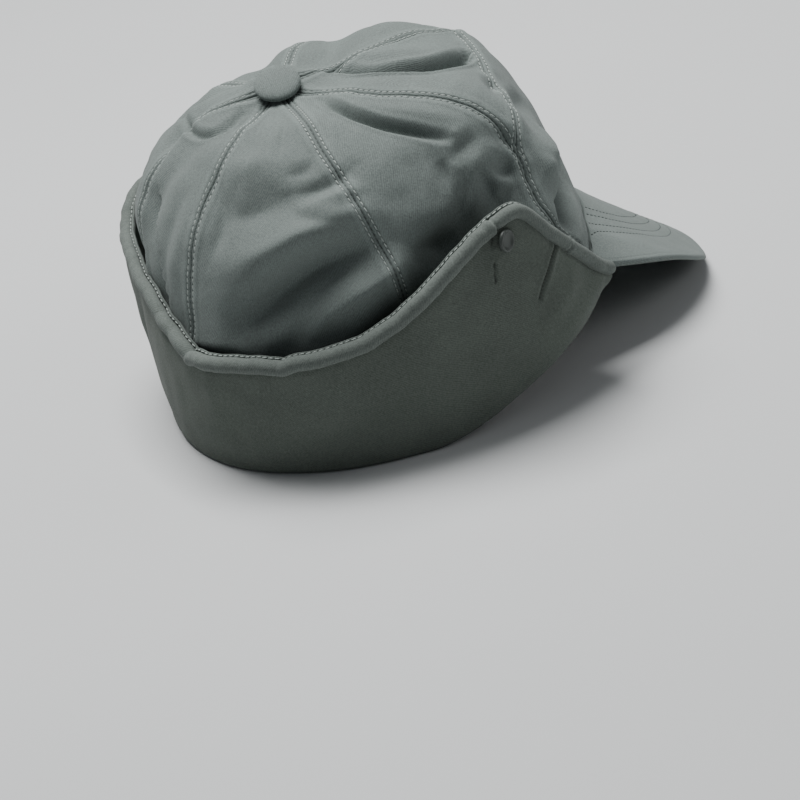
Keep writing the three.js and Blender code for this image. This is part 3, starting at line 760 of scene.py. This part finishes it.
def flap_relief(p, v, lines):
    """How far the flap's face stands out, and the distance to its sewn lines."""
    total = np.zeros(len(p))
    nearest = np.full(len(p), NO_SEAM)
    for line, width, depth in lines:
        d, where = line.near(p)
        u = where / line.length
        if width < 2:
            inside = (u < 0.995) & (u > 0.005)
            total -= depth * bump(d, width) * (1 - 0.5 * u)
            total += 0.55 * depth * bump(d - 2.4 * width, 1.3 * width) * (1 - 0.6 * u)
            nearest = np.where(inside, np.minimum(nearest, d), nearest)
        else:
            total -= depth * np.sin(np.pi * (0.1 + 0.8 * u)) * bump(d, width)
    fade = np.clip(v, 0, 1)
    under_hem = np.exp(-((1 - v) * 62 / 2.2) ** 2)
    total += 1.3 * noise_at(p * np.array([1, 1, 0.45]), 28, 11.0) * fade
    total += 0.5 * noise_at(p, 11, 4.0) + 0.3 * noise_at(p, 5, 8.0) * np.exp(-(1 - fade) * 9)
    return total - 0.5 * under_hem, nearest


def flap_place(hem):
    lines = list(flap_lines(hem))

    def place(u, v):
        a = FLAP_FRONT + (360 - 2 * FLAP_FRONT) * crowd_ends(u, 0.6)
        p = flap_point(a, v, hem)
        on_wall = np.clip((0.8 - v) / 0.08, 0, 1)
        relief, near = flap_relief(p, np.clip(wall_height(v), 0, 1), lines)
        p = p + on_plan(a, 1.0, 0.0) * (relief * on_wall)[:, None]
        return p, SEWN_LINE + np.where(v < 0.75, near, 20)
    return place


# Tubes, the rolled hem and its inner lip

def tube(name, hem, centre_of, radii_of, margin, steps, sides):
    """A tube along the hem, which stops short of the flap's ends by a margin in degrees."""
    start = FLAP_FRONT + margin
    stop = 360 - FLAP_FRONT - margin

    def place(u, v):
        a = start + (stop - start) * u
        q = 2 * np.pi * v
        side, up = hem_axes(a, hem)
        across, high = radii_of(a, q)
        p = centre_of(a) + side * (np.cos(q) * across)[:, None] + up * (np.sin(q) * high)[:, None]
        return p, np.full(len(a), NO_SEAM)
    return close_mesh(sheet_from_grid(name, steps, sides, place))


def hem_edge(a, hem):
    p = np.stack(flap_outer(a, np.ones_like(a), hem))
    kink = sum(drop * bump(a - azimuth, width) for azimuth, width, drop in HEM_KINKS)
    wave = noise_at(np.stack([a / 7, a * 0, a * 0.3], -1), 1.0, 3.0)
    rise = noise_at(np.stack([a / 5, a * 0.2, a * 0], -1), 1.0, 9.0)
    return on_plan(a, p[0] - 0.7 - 1.3 * bump(a - 208, 14) + 0.5 * wave, p[1] - kink + 0.5 * rise)


def hem_axes(a, hem):
    along = unit(hem_edge(a + 0.6, hem) - hem_edge(a - 0.6, hem))
    side = on_plan(a, 1.0, 0.0)
    side = unit(side - along * (side * along).sum(-1, keepdims=True))
    up = np.cross(side, along)
    up = np.where(up[:, 2:3] < 0, -up, up)
    return side, unit(up)


# Stitches

def stitch_mesh(name, runs, sizes, fill=0.86):
    """Joins one small stitch for every step of every run of points and normals."""
    step = sizes.stitch_step / METRE
    radius = sizes.thread_radius / METRE
    lean = 0.09
    bm = bmesh.new()
    lying = Matrix.Rotation(math.pi / 2, 4, "Y")
    bmesh.ops.create_uvsphere(bm, u_segments=6, v_segments=4, radius=1, matrix=lying)
    bm.verts.index_update()
    shape = np.array([v.co[:] for v in bm.verts])
    faces = [[v.index for v in f.verts] for f in bm.faces]
    bm.free()
    stitches = []
    for points, normals in runs:
        line = Line(points)
        count = max(int(line.length // step), 1)
        middle = (np.arange(count) + 0.5) * line.length / count
        normal = unit(line.read(normals, middle))
        along = unit(line.read(points, middle + 0.4) - line.read(points, middle - 0.4))
        along = unit(along + unit(np.cross(normal, along)) * lean)
        side = unit(np.cross(normal, along))
        centre = line.read(points, middle) + normal * radius * 0.35
        half = fill / 2 * line.length / count
        axes = np.stack([along * half, side * radius, normal * radius * 0.8], 1)
        stitches.append((centre[:, None] + shape @ axes).reshape(-1, 3))
    verts = (np.concatenate(stitches) + ORIGIN_SHIFT) * METRE
    polygons = [[base + i for i in face] for base in range(0, len(verts), len(shape)) for face in faces]
    return add_piece(name, lambda mesh: mesh.from_pydata(verts.tolist(), [], polygons))


def crown_row(azimuth, down, offset, row):
    """Points beside a seam, on the cloth, with normals."""
    base = crown_smooth(azimuth, down)
    along = unit(np.gradient(base, axis=0))
    normal = crown_normal(azimuth, down)
    side = unit(np.cross(normal, along))
    p = base + side * offset
    height, _ = crown_height(p, down, row, normal)
    return p + normal * height[:, None], normal


# Materials

def arithmetic(operation, flipped=False):
    return lambda signal, *other: signal.math(operation, *other, flipped=flipped)


class Signal:
    """A shader socket that takes part in Python arithmetic."""

    def __init__(self, shader, socket):
        self.shader = shader
        self.socket = socket

    def math(self, operation, other=None, flipped=False):
        values = [self] if other is None else [other, self] if flipped else [self, other]
        node = self.shader.node("ShaderNodeMath", {"operation": operation}, dict(enumerate(values)))
        return self.shader.out(node)

    __add__ = arithmetic("ADD")
    __radd__ = arithmetic("ADD", flipped=True)
    __sub__ = arithmetic("SUBTRACT")
    __rsub__ = arithmetic("SUBTRACT", flipped=True)
    __mul__ = arithmetic("MULTIPLY")
    __rmul__ = arithmetic("MULTIPLY", flipped=True)
    sin = arithmetic("SINE")


class Shader:
    """A material under construction."""

    def __init__(self, name):
        self.material = bpy.data.materials.new(name)
        self.material.use_nodes = True
        self.tree = self.material.node_tree
        self.tree.nodes.clear()

    def node(self, kind, settings=None, sockets=None):
        made = self.tree.nodes.new(kind)
        for key, value in (settings or {}).items():
            setattr(made, key, value)
        for key, value in (sockets or {}).items():
            target = made.inputs[key]
            if isinstance(value, Signal):
                self.tree.links.new(value.socket, target)
            else:
                target.default_value = value
        return made

    def out(self, node, name=0):
        return Signal(self, node.outputs[name])

    def noise(self, vector, scale, detail):
        return self.out(self.node("ShaderNodeTexNoise", None,
                                  {"Vector": vector, "Scale": scale, "Detail": detail}), "Fac")

    def mix(self, factor, first, second):
        """Mixes two colours."""
        return self.out(self.node("ShaderNodeMix", {"data_type": "RGBA"},
                                  {0: factor, 6: first, 7: second}), 2)

    def bell(self, signal, width):
        """A bell curve over a distance, built from arithmetic."""
        square = signal * signal * (-1 / width ** 2)
        return square.math("EXPONENT")

    def finish(self, surface):
        end = self.node("ShaderNodeOutputMaterial")
        self.tree.links.new(surface.outputs[0], end.inputs["Surface"])
        return self.material


def rgba(colour, gain=1.0):
    return tuple(min(c * gain, 1.0) for c in colour) + (1.0,)


def twill_material(name, colour, tilt=1.0, depth=1.0):
    """Grey-green twill: fine diagonal ribs, uneven yarn, pale worn seam edges, and painted shade in the seam
    grooves, beside the stitch rows and along the flap's sewn lines.
    """
    # In millimetres: from one rib to the next, a stitch, its row and the seam's pale edge
    rib_step, stitch, row, pale = 0.8, 2.6, 1.7, 2.9
    s = Shader(name)
    uv = s.node("ShaderNodeUVMap", {"uv_map": "weave"})
    parts = s.node("ShaderNodeSeparateXYZ", None, {0: s.out(uv)})
    x = s.out(parts, "X") * 100
    y = s.out(parts, "Y") * 100
    across = x * 0.8 + y * (0.6 * tilt)
    along = y * 0.8 - x * (0.6 * tilt)
    coords = s.out(s.node("ShaderNodeTexCoord"), "Object")
    line = s.node("ShaderNodeCombineXYZ", None, {0: across * 2.1, 1: along * 0.6})
    streak = s.noise(s.out(line), 1.0, 2)
    yarn = s.noise(s.out(s.node("ShaderNodeCombineXYZ", None, {0: across * 0.5, 1: along * 1.4})), 1.0, 2)
    wobble = s.noise(coords, 260, 2)
    rib = ((across * (2 * math.pi / rib_step)) + wobble * 8.0 + streak * 3.5).sin() * 0.5 + 0.5
    slub = s.noise(coords, 1500, 3)
    cloud = s.noise(coords, 30, 4)
    d = s.out(s.node("ShaderNodeAttribute", {"attribute_name": "seam"}), "Fac")
    weave = rib * 0.42 + streak * 0.58
    edge = s.bell(d - pale, 1.2)
    tone = weave * 0.5 + yarn * 0.3 + slub * 0.9 + cloud * 0.4 + edge * 0.14 - 0.6
    ramp = s.mix(tone, rgba(colour, 0.55), rgba(colour, 1.47))
    dash = (y * (2 * math.pi / stitch)).sin() * 0.45 + 0.55
    crease = s.out(s.node("ShaderNodeAttribute", {"attribute_name": "crease"}), "Fac")
    # Painted shade: the colour darkens in each seam's groove and around its stitch rows, in dashes at the
    # stitch step, and along the flap's sewn lines.
    painted_shade = s.bell(d, 0.3) * dash * 0.66 + s.bell(d - row, 0.5) * dash * 0.5 + crease * 0.8
    shade = s.mix(painted_shade, ramp, rgba(colour, 0.12))
    relief = s.node("ShaderNodeBump", None, {
        "Strength": 0.7, "Distance": 0.00015, "Height": (weave + slub * 0.8 + yarn * 0.3) * depth})
    surface = s.node("ShaderNodeBsdfPrincipled", None, {
        "Base Color": shade, "Roughness": cloud * 0.1 + 0.84, "Normal": s.out(relief),
        "Specular IOR Level": 0.2, "Sheen Weight": 0.06, "Sheen Roughness": 0.5})
    return s.finish(surface)


def plain_material(name, colour, pattern, tones, roughness, relief=0, uneven=0, gloss=0.5):
    """One colour with a grain in its tone and its surface. A pattern is a scale and a detail."""
    s = Shader(name)
    coords = s.out(s.node("ShaderNodeTexCoord"), "Object")
    grain = s.noise(coords, *pattern)
    raised = s.node("ShaderNodeBump", None, {"Strength": relief, "Distance": 0.0001, "Height": grain})
    surface = s.node("ShaderNodeBsdfPrincipled", None, {
        "Base Color": s.mix(grain, *(rgba(colour, gain) for gain in tones)), "Normal": s.out(raised),
        "Roughness": grain * uneven + roughness, "Specular IOR Level": gloss})
    return s.finish(surface)


def material(key):
    """Makes each material once, from the scene's colours."""
    name = f"cap_{key}"
    made = bpy.data.materials.get(name)
    if made:
        return made
    colours = bpy.context.scene.cap_colours
    thread = {"pattern": (1500, 2), "tones": (0.7, 1.25), "roughness": 0.7, "relief": 0.4, "gloss": 0.35}
    makers = {
        "crown_twill": lambda: twill_material(name, colours.twill),
        "peak_twill": lambda: twill_material(name, colours.twill),
        # Painted shade: the flap's twill takes the darker flap colour.
        "flap_twill": lambda: twill_material(name, colours.flap, -1.0, 0.7),
        "hem_twill": lambda: twill_material(name, colours.hem, 0.4, 0.9),
        "seam_thread": lambda: plain_material(name, colours.thread, **thread),
        "row_thread": lambda: plain_material(name, colours.row, **thread),
        "button_resin": lambda: plain_material(name, colours.button, (420, 3), (0.75, 1.3), 0.42, 0.15,
                                               uneven=0.15),
        "studio_floor": lambda: plain_material(name, colours.floor, (5, 4), (0.97, 1.03), 0.85),
    }
    return makers[key]()


class CAP_OT_crown(bpy.types.Operator):
    """Builds the gores and the front panel of the crown"""
    bl_idname = "cap.crown"
    bl_label = "Crown"

    def execute(self, context):
        sizes = context.scene.cap_sizes
        row = sizes.row_offset / METRE
        centre, side_front = np.zeros_like, side_front_azimuth
        side_back, rear = seam_of["side_back"], seam_of["rear"]
        gores = {
            "front_right": (centre, side_front, True, False, 190, 150),
            "side_right": (side_front, side_back, False, False, 110, 150),
            "rear_right": (side_back, rear, False, False, 110, 150),
            "back": (rear, lambda t: 360 - rear(t), False, False, 48, 130),
            "rear_left": (side_back, rear, False, True, 80, 130),
            "side_left": (side_front, side_back, False, True, 76, 130),
            "front_left": (centre, side_front, True, True, 120, 100),
        }
        for name, (left, right, stops, mirror, columns, rows) in gores.items():
            place = gore_place(left, right, stops, mirror, row)
            turn = (-1 if mirror else 1, -1)
            piece = sheet_from_grid(f"twill_gore_{name}", columns, rows, place, turn)
            add_thickness(piece, sizes.crown_cloth)
            attach(piece, "crown_twill", f"crown_gore_{name}")
        piece = sheet_from_grid("twill_front_panel", 170, 60, panel_place(row))
        add_thickness(piece, sizes.crown_cloth)
        attach(piece, "crown_twill", "crown_front_panel")
        return {"FINISHED"}


class CAP_OT_crown_stitches(bpy.types.Operator):
    """Sews the double rows beside the crown seams"""
    bl_idname = "cap.crown_stitches"
    bl_label = "Crown topstitching"

    def execute(self, context):
        sizes = context.scene.cap_sizes
        row = sizes.row_offset / METRE
        runs = []
        for name, (azimuth, down) in CROWN_SEAMS.items():
            start = 0 if name == "front_panel" else UNDER_BUTTON
            for offset in (-row, row):
                runs.append(crown_row(azimuth[start:], down[start:], offset, row))
        piece = stitch_mesh("crown_topstitching", runs, sizes)
        attach(piece, "crown_twill", coat="seam_thread")
        return {"FINISHED"}


class CAP_OT_flap(bpy.types.Operator):
    """Builds the folded ear and neck flap"""
    bl_idname = "cap.flap"
    bl_label = "Flap"

    def execute(self, context):
        sizes = context.scene.cap_sizes
        hem = sizes.hem_radius / METRE
        piece = sheet_from_grid("twill_flap", 440, 96, flap_place(hem), (1, -1))
        add_thickness(piece, sizes.flap_cloth)
        attach(piece, "flap_twill", "ear_flap")
        return {"FINISHED"}


class CAP_OT_hem(bpy.types.Operator):
    """Builds the rolled hem, its inner lip and their stitches"""
    bl_idname = "cap.hem"
    bl_label = "Rolled hem"

    def execute(self, context):
        sizes = context.scene.cap_sizes
        hem = sizes.hem_radius / METRE

        def roll_radius(a, q):
            ring = np.stack([a / 1.1, np.cos(q) * 1.2, np.sin(q) * 1.2], -1)
            wrinkle = 0.12 * noise_at(ring, 1.0, 1.0) + 0.22 * noise_at(ring * 0.3, 1.0, 7.0)
            joint = seam = 0
            for turn, way in ((HEM_JOINT, 1), (360 - HEM_JOINT, -1)):
                past = (a - turn) * way
                joint = joint + 0.45 * bump(past - 0.75, 0.6) - 0.5 * bump(past + 0.1, 0.28)
                joint = joint + 0.28 / (1 + np.exp(-past / 0.15))
            for turn in (HEM_SEAM, 360 - HEM_SEAM):
                seam = seam - 0.55 * bump(a - turn, 0.22) + 0.3 * bump(np.abs(a - turn) - 0.55, 0.3)
            end = np.minimum(1, np.sqrt(np.clip((a - FLAP_FRONT + 0.05) / 1.6, 0, 1)))
            end *= np.minimum(1, np.sqrt(np.clip((360 - FLAP_FRONT - a + 0.05) / 1.6, 0, 1)))
            radius = (hem + wrinkle + joint + seam - 0.4 * bump(a - 200, 26)) * end
            return radius, radius

        def roll_centre(a):
            return hem_edge(a, hem) + hem_axes(a, hem)[1] * (hem + 0.1)

        roll = tube("rolled_hem", hem, roll_centre, roll_radius, 0, 1100, 20)
        attach(roll, "hem_twill", "flap_hem")

        def lip_centre(a):
            side, up = hem_axes(a, hem)
            return hem_edge(a, hem) + up * (hem + 1.3) - side * (hem + 0.75)

        def lip_radius(a, q):
            ring = np.stack([a / 1.6, np.cos(q), np.sin(q)], -1)
            wrinkle = 0.1 * noise_at(ring, 1.0, 6.0)
            return 0.75 + wrinkle, 1.9 + wrinkle

        lip = tube("hem_lip", hem, lip_centre, lip_radius, 1.5, 420, 12)
        attach(lip, "hem_twill")
        a = np.linspace(FLAP_FRONT + 3, 360 - FLAP_FRONT - 3, 400)
        side, up = hem_axes(a, hem)
        run = (lip_centre(a) + up * 1.35 + side * 0.72, unit(side + up * 0.6))
        stitches = stitch_mesh("hem_stitches", [run], sizes)
        attach(stitches, "hem_twill", coat="seam_thread")
        return {"FINISHED"}


def peak_top(u, v):
    a = PEAK_ROOT * u
    root = on_plan(a, rim_radius(a) + 0.3, fold_height(a) + 3 + PEAK_CORNER_LIFT * u ** 4)
    q = u * math.pi / 2
    end = -rim_radius(PEAK_ROOT)[0] * math.cos(math.radians(PEAK_ROOT))
    reach = RIM["radius"][0] + end + PEAK_LENGTH - 1.5
    edge = np.stack([-PEAK_HALF_WIDTH * np.sin(q), end - 3 - reach * np.maximum(np.cos(q), 0) ** 0.9,
                     peak_edge_of(np.abs(u) * 90)], -1)
    p = root + (edge - root) * v[:, None]
    p[:, 2] = root[:, 2] + (edge[:, 2] - root[:, 2]) * v ** 0.9
    return p


def peak_row(half, front):
    """A row of stitches over the peak's top, from one root to the other."""
    w = np.linspace(-1, 1, 161)
    return peak_top(half * w, front * (1 - np.abs(w) ** 1.55) + 0.01)


class CAP_OT_peak(bpy.types.Operator):
    """Builds the peak and its rows of stitches"""
    bl_idname = "cap.peak"
    bl_label = "Peak"

    def execute(self, context):
        sizes = context.scene.cap_sizes
        thick = sizes.peak_thick / METRE
        half = thick / 2
        rows = [peak_row(*row) for row in zip(PEAK_ROWS["half"], PEAK_ROWS["front"])]
        edge = peak_top(np.linspace(-1, 1, 81), np.ones(81))

        def place(u, v):
            # Each face takes this share of the section, and the rounded edge the rest
            face = 0.46
            across = 2 * u - 1
            top = v <= face
            under = v >= 1 - face
            reach = np.where(top, v / face, np.where(under, (1 - v) / face, 1))
            turn = np.clip((v - face) / 0.08, 0, 1) * np.pi
            inset = 1 - half / 60
            p = peak_top(across, reach * inset)
            tip = peak_top(across, np.full_like(v, inset))
            outward = unit(peak_top(across, np.ones_like(v)) - tip)
            p = p + outward * (half * np.sin(turn))[:, None]
            p[:, 2] += half * np.cos(turn) - half
            on_top = peak_top(across, reach)
            furrow = 0.2 * bump(Line(edge).near(on_top)[0] - 1.6, 0.5)
            for line in rows:
                furrow += 0.36 * bump(Line(line).near(on_top)[0], 0.6)
            puff = 0.25 * noise_at(p, 8, 3.0)
            p[:, 2] += np.where(top, puff - furrow, np.where(under, furrow - puff, 0))
            return p, np.full(len(v), NO_SEAM)

        piece = close_mesh(sheet_from_grid("twill_peak", 190, 130, place))
        attach(piece, "peak_twill", "peak")
        runs = []
        for top in rows:
            top = top.copy()
            top[:, 2] += 0.25 * noise_at(top, 8, 3.0) - 0.3
            runs.append((top, np.tile([0.0, -0.3, 1.0], (len(top), 1))))
            low = top.copy()
            low[:, 2] -= thick - 0.6
            runs.append((low, np.tile([0.0, 0.3, -1.0], (len(top), 1))))
        stitches = stitch_mesh("peak_stitches", runs, sizes, fill=0.66)
        attach(stitches, "peak_twill", coat="row_thread")
        return {"FINISHED"}


# Profiles of the covered and the sewn buttons: share of the radius, and height in metres
DOME = [(0, 0.0004), (0.4, 0.0003), (0.8, 0.0003), (0.93, 0.0006), (1, 0.0013), (1, 0.0019),
        (0.97, 0.0025), (0.9, 0.003), (0.8, 0.0034), (0.66, 0.0037), (0.5, 0.0039), (0.33, 0.00405),
        (0.16, 0.00413), (0, 0.00415)]
DISH = [(0, 0), (0.88, 0), (0.97, 0.0003), (1, 0.0007), (0.99, 0.0013), (0.93, 0.0017),
        (0.84, 0.0018), (0.74, 0.0016), (0.66, 0.0012), (0.5, 0.001), (0, 0.001)]
PLEATS = 22
SEWN_BUTTON = {"azimuth": 86, "up_the_wall": 0.91, "turn": 24, "lift": 0.0018}


def turned_shape(profile, radius, steps):
    """Spins a profile round the Z axis."""
    bm = bmesh.new()
    verts = [bm.verts.new((share * radius, 0, z)) for share, z in profile]
    edges = [bm.edges.new(pair) for pair in zip(verts[:-1], verts[1:])]
    bmesh.ops.spin(bm, geom=verts + edges, cent=(0, 0, 0), axis=(0, 0, 1), angle=2 * math.pi,
                   steps=steps, use_merge=True, use_duplicate=False)
    bmesh.ops.remove_doubles(bm, verts=bm.verts, dist=1e-7)
    bmesh.ops.recalc_face_normals(bm, faces=bm.faces)
    return bm


class CAP_OT_buttons(bpy.types.Operator):
    """Builds the covered top button and the two sewn flap buttons"""
    bl_idname = "cap.buttons"
    bl_label = "Buttons"

    def execute(self, context):
        sizes = context.scene.cap_sizes
        r = sizes.button_radius
        bm = turned_shape(DOME, r, 72)
        up = Vector(on_plan(LEAN["azimuth"], LEAN["button"], 1.0)).normalized()
        at = Vector((CROWN_TOP + ORIGIN_SHIFT) * METRE) + up * (LEAN["lift"] * METRE)
        lean = Vector((0, 0, 1)).rotation_difference(up).to_matrix().to_4x4()
        for vert in bm.verts:
            turn = math.atan2(vert.co.y, vert.co.x)
            edge = min(1.0, max(0.0, (vert.co.xy.length / r - 0.55) / 0.4))
            pleat = 0.00006 * edge * math.sin(turn * PLEATS) * (1 if vert.co.z < 0.003 else 0.3)
            soft = 0.00012 * noise.noise(vert.co * 260)
            vert.co += Vector((math.cos(turn), math.sin(turn), 0)) * pleat
            vert.co.z += soft * edge
        weave = np.array([v.co[:2] for v in bm.verts]) / METRE
        bmesh.ops.transform(bm, matrix=Matrix.Translation(at) @ lean, verts=bm.verts)
        piece = finish_mesh("covered_button", bm, weave, np.full(len(weave), NO_SEAM), outward=at)
        attach(piece, "crown_twill", "top_button")
        self.sewn_button("right", SEWN_BUTTON["azimuth"], SEWN_BUTTON["turn"], sizes)
        self.sewn_button("left", 360 - SEWN_BUTTON["azimuth"], -SEWN_BUTTON["turn"], sizes)
        return {"FINISHED"}

    def sewn_button(self, side, azimuth, turn, sizes):
        lo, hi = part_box(f"flap_button_{side}")
        centre = (Vector(lo) + Vector(hi)) / 2
        bm = turned_shape(DISH, sizes.flap_button_radius, 48)
        normal = self.outward(azimuth, SEWN_BUTTON["up_the_wall"], sizes.hem_radius / METRE)
        normal.rotate(Matrix.Rotation(math.radians(turn), 3, "Z"))
        lean = Vector((0, 0, 1)).rotation_difference(normal).to_matrix().to_4x4()
        bmesh.ops.transform(bm, matrix=lean, verts=bm.verts)
        bmesh.ops.translate(bm, verts=bm.verts, vec=centre + Vector((0, 0, SEWN_BUTTON["lift"])))
        piece = finish_mesh(f"sewn_button_{side}", bm, outward=centre)
        attach(piece, "button_resin", f"flap_button_{side}")

    def outward(self, azimuth, v, hem):
        """The way that the flap's face looks at a place."""
        a = np.array([azimuth - 2.0, azimuth + 2.0, azimuth, azimuth])
        p = flap_wall(a, np.array([v, v, v - 0.06, v + 0.06]), hem)
        n = unit(np.cross(p[1] - p[0], p[3] - p[2]))
        flat = on_plan(azimuth, 1.0, 0.0)
        return Vector(n if n @ flat > 0 else -n)


class CAP_OT_cloth(bpy.types.Operator):
    """Does nothing: it builds and changes nothing in the scene"""
    bl_idname = "cap.cloth"
    bl_label = "Flap cloth"

    def execute(self, context):
        return {"FINISHED"}


# Soft lights, each with its place in metres, the side of its square and its watts
LIGHTS = table(
    "name place size power",
    ("key_light", (0.4, 0.02, 1.5), 0.95, 47),
    ("fill_light", (-0.9, -1.6, 0.8), 1.0, 7),
)
LIT_PLACE = (0, 0, 0.06)
SKY = (0.9, 0.95, 1.0, 1)
SKY_STRENGTH = 0.17


class CAP_OT_stage(bpy.types.Operator):
    """Sets the floor, the lights and the camera"""
    bl_idname = "cap.stage"
    bl_label = "Stage"

    def execute(self, context):
        scene = context.scene
        bm = bmesh.new()
        bmesh.ops.create_grid(bm, x_segments=4, y_segments=4, size=6)
        floor = add_piece("studio_floor", bm.to_mesh)
        bm.free()
        floor.data.materials.append(material("studio_floor"))
        for lamp in LIGHTS:
            self.light(**lamp)
        world = scene.world or bpy.data.worlds.new("studio")
        scene.world = world
        world.use_nodes = True
        ground = world.node_tree.nodes.get("Background")
        ground.inputs["Color"].default_value = SKY
        ground.inputs["Strength"].default_value = SKY_STRENGTH
        self.camera(context, scene.cap_stage)
        return {"FINISHED"}

    def light(self, name, place, size, power):
        data = bpy.data.lights.new(name, "AREA")
        data.shape = "SQUARE"
        data.size = size
        data.energy = power
        lamp = bpy.data.objects.new(name, data)
        lamp.location = place
        way = Vector(LIT_PLACE) - Vector(place)
        lamp.rotation_euler = way.to_track_quat("-Z", "Y").to_euler()
        bpy.context.collection.objects.link(lamp)

    def camera(self, context, stage):
        a, e, roll = stage.azimuth, stage.elevation, stage.roll
        back = Vector((math.sin(a) * math.cos(e), -math.cos(a) * math.cos(e), math.sin(e)))
        across = Vector((math.cos(a), math.sin(a), 0))
        above = back.cross(across)
        right = across * math.cos(roll) - above * math.sin(roll)
        up = across * math.sin(roll) + above * math.cos(roll)
        data = bpy.data.cameras.new("photo_camera")
        data.lens = stage.lens
        data.sensor_width = sensor = 36
        cam = bpy.data.objects.new("photo_camera", data)
        # The middle of the cap's lower edge sits at this place in an 800 pixel picture.
        seen_at = (399, 351)
        picture = 800
        focal = stage.lens / sensor * picture
        place = Vector(ORIGIN_SHIFT * METRE) + back * stage.distance
        place -= right * ((seen_at[0] - picture / 2) * stage.distance / focal)
        place += up * ((seen_at[1] - picture / 2) * stage.distance / focal)
        turn = Matrix((right, up, back)).transposed().to_4x4()
        cam.matrix_world = Matrix.Translation(place) @ turn
        context.collection.objects.link(cam)
        context.scene.camera = cam


class CAP_PT_panel(bpy.types.Panel):
    bl_idname = "CAP_PT_panel"
    bl_label = "Work Cap"
    bl_space_type = "VIEW_3D"
    bl_region_type = "UI"
    bl_category = "Cap"

    def draw(self, context):
        for group in (context.scene.cap_sizes, context.scene.cap_colours, context.scene.cap_stage):
            box = self.layout.box()
            for key in group.bl_rna.properties.keys():
                if key not in ("rna_type", "name"):
                    box.prop(group, key)
        for operator in OPERATORS:
            self.layout.operator(operator.bl_idname)


OPERATORS = (CAP_OT_crown, CAP_OT_crown_stitches, CAP_OT_flap, CAP_OT_hem, CAP_OT_peak, CAP_OT_buttons,
             CAP_OT_stage, CAP_OT_cloth)
GROUPS = {"cap_sizes": CapSizes, "cap_colours": CapColours, "cap_stage": CapStage}


def register():
    for group in GROUPS.values():
        bpy.utils.register_class(group)
    for name, group in GROUPS.items():
        setattr(bpy.types.Scene, name, bpy.props.PointerProperty(type=group))
    for operator in OPERATORS:
        bpy.utils.register_class(operator)
    bpy.utils.register_class(CAP_PT_panel)


def unregister():
    bpy.utils.unregister_class(CAP_PT_panel)
    for operator in reversed(OPERATORS):
        bpy.utils.unregister_class(operator)
    for name in GROUPS:
        delattr(bpy.types.Scene, name)
    for group in reversed(GROUPS.values()):
        bpy.utils.unregister_class(group)


def main():
    register()
    for operator in OPERATORS:
        area, name = operator.bl_idname.split(".")
        getattr(getattr(bpy.ops, area), name)()


if __name__ == "__main__":
    main()
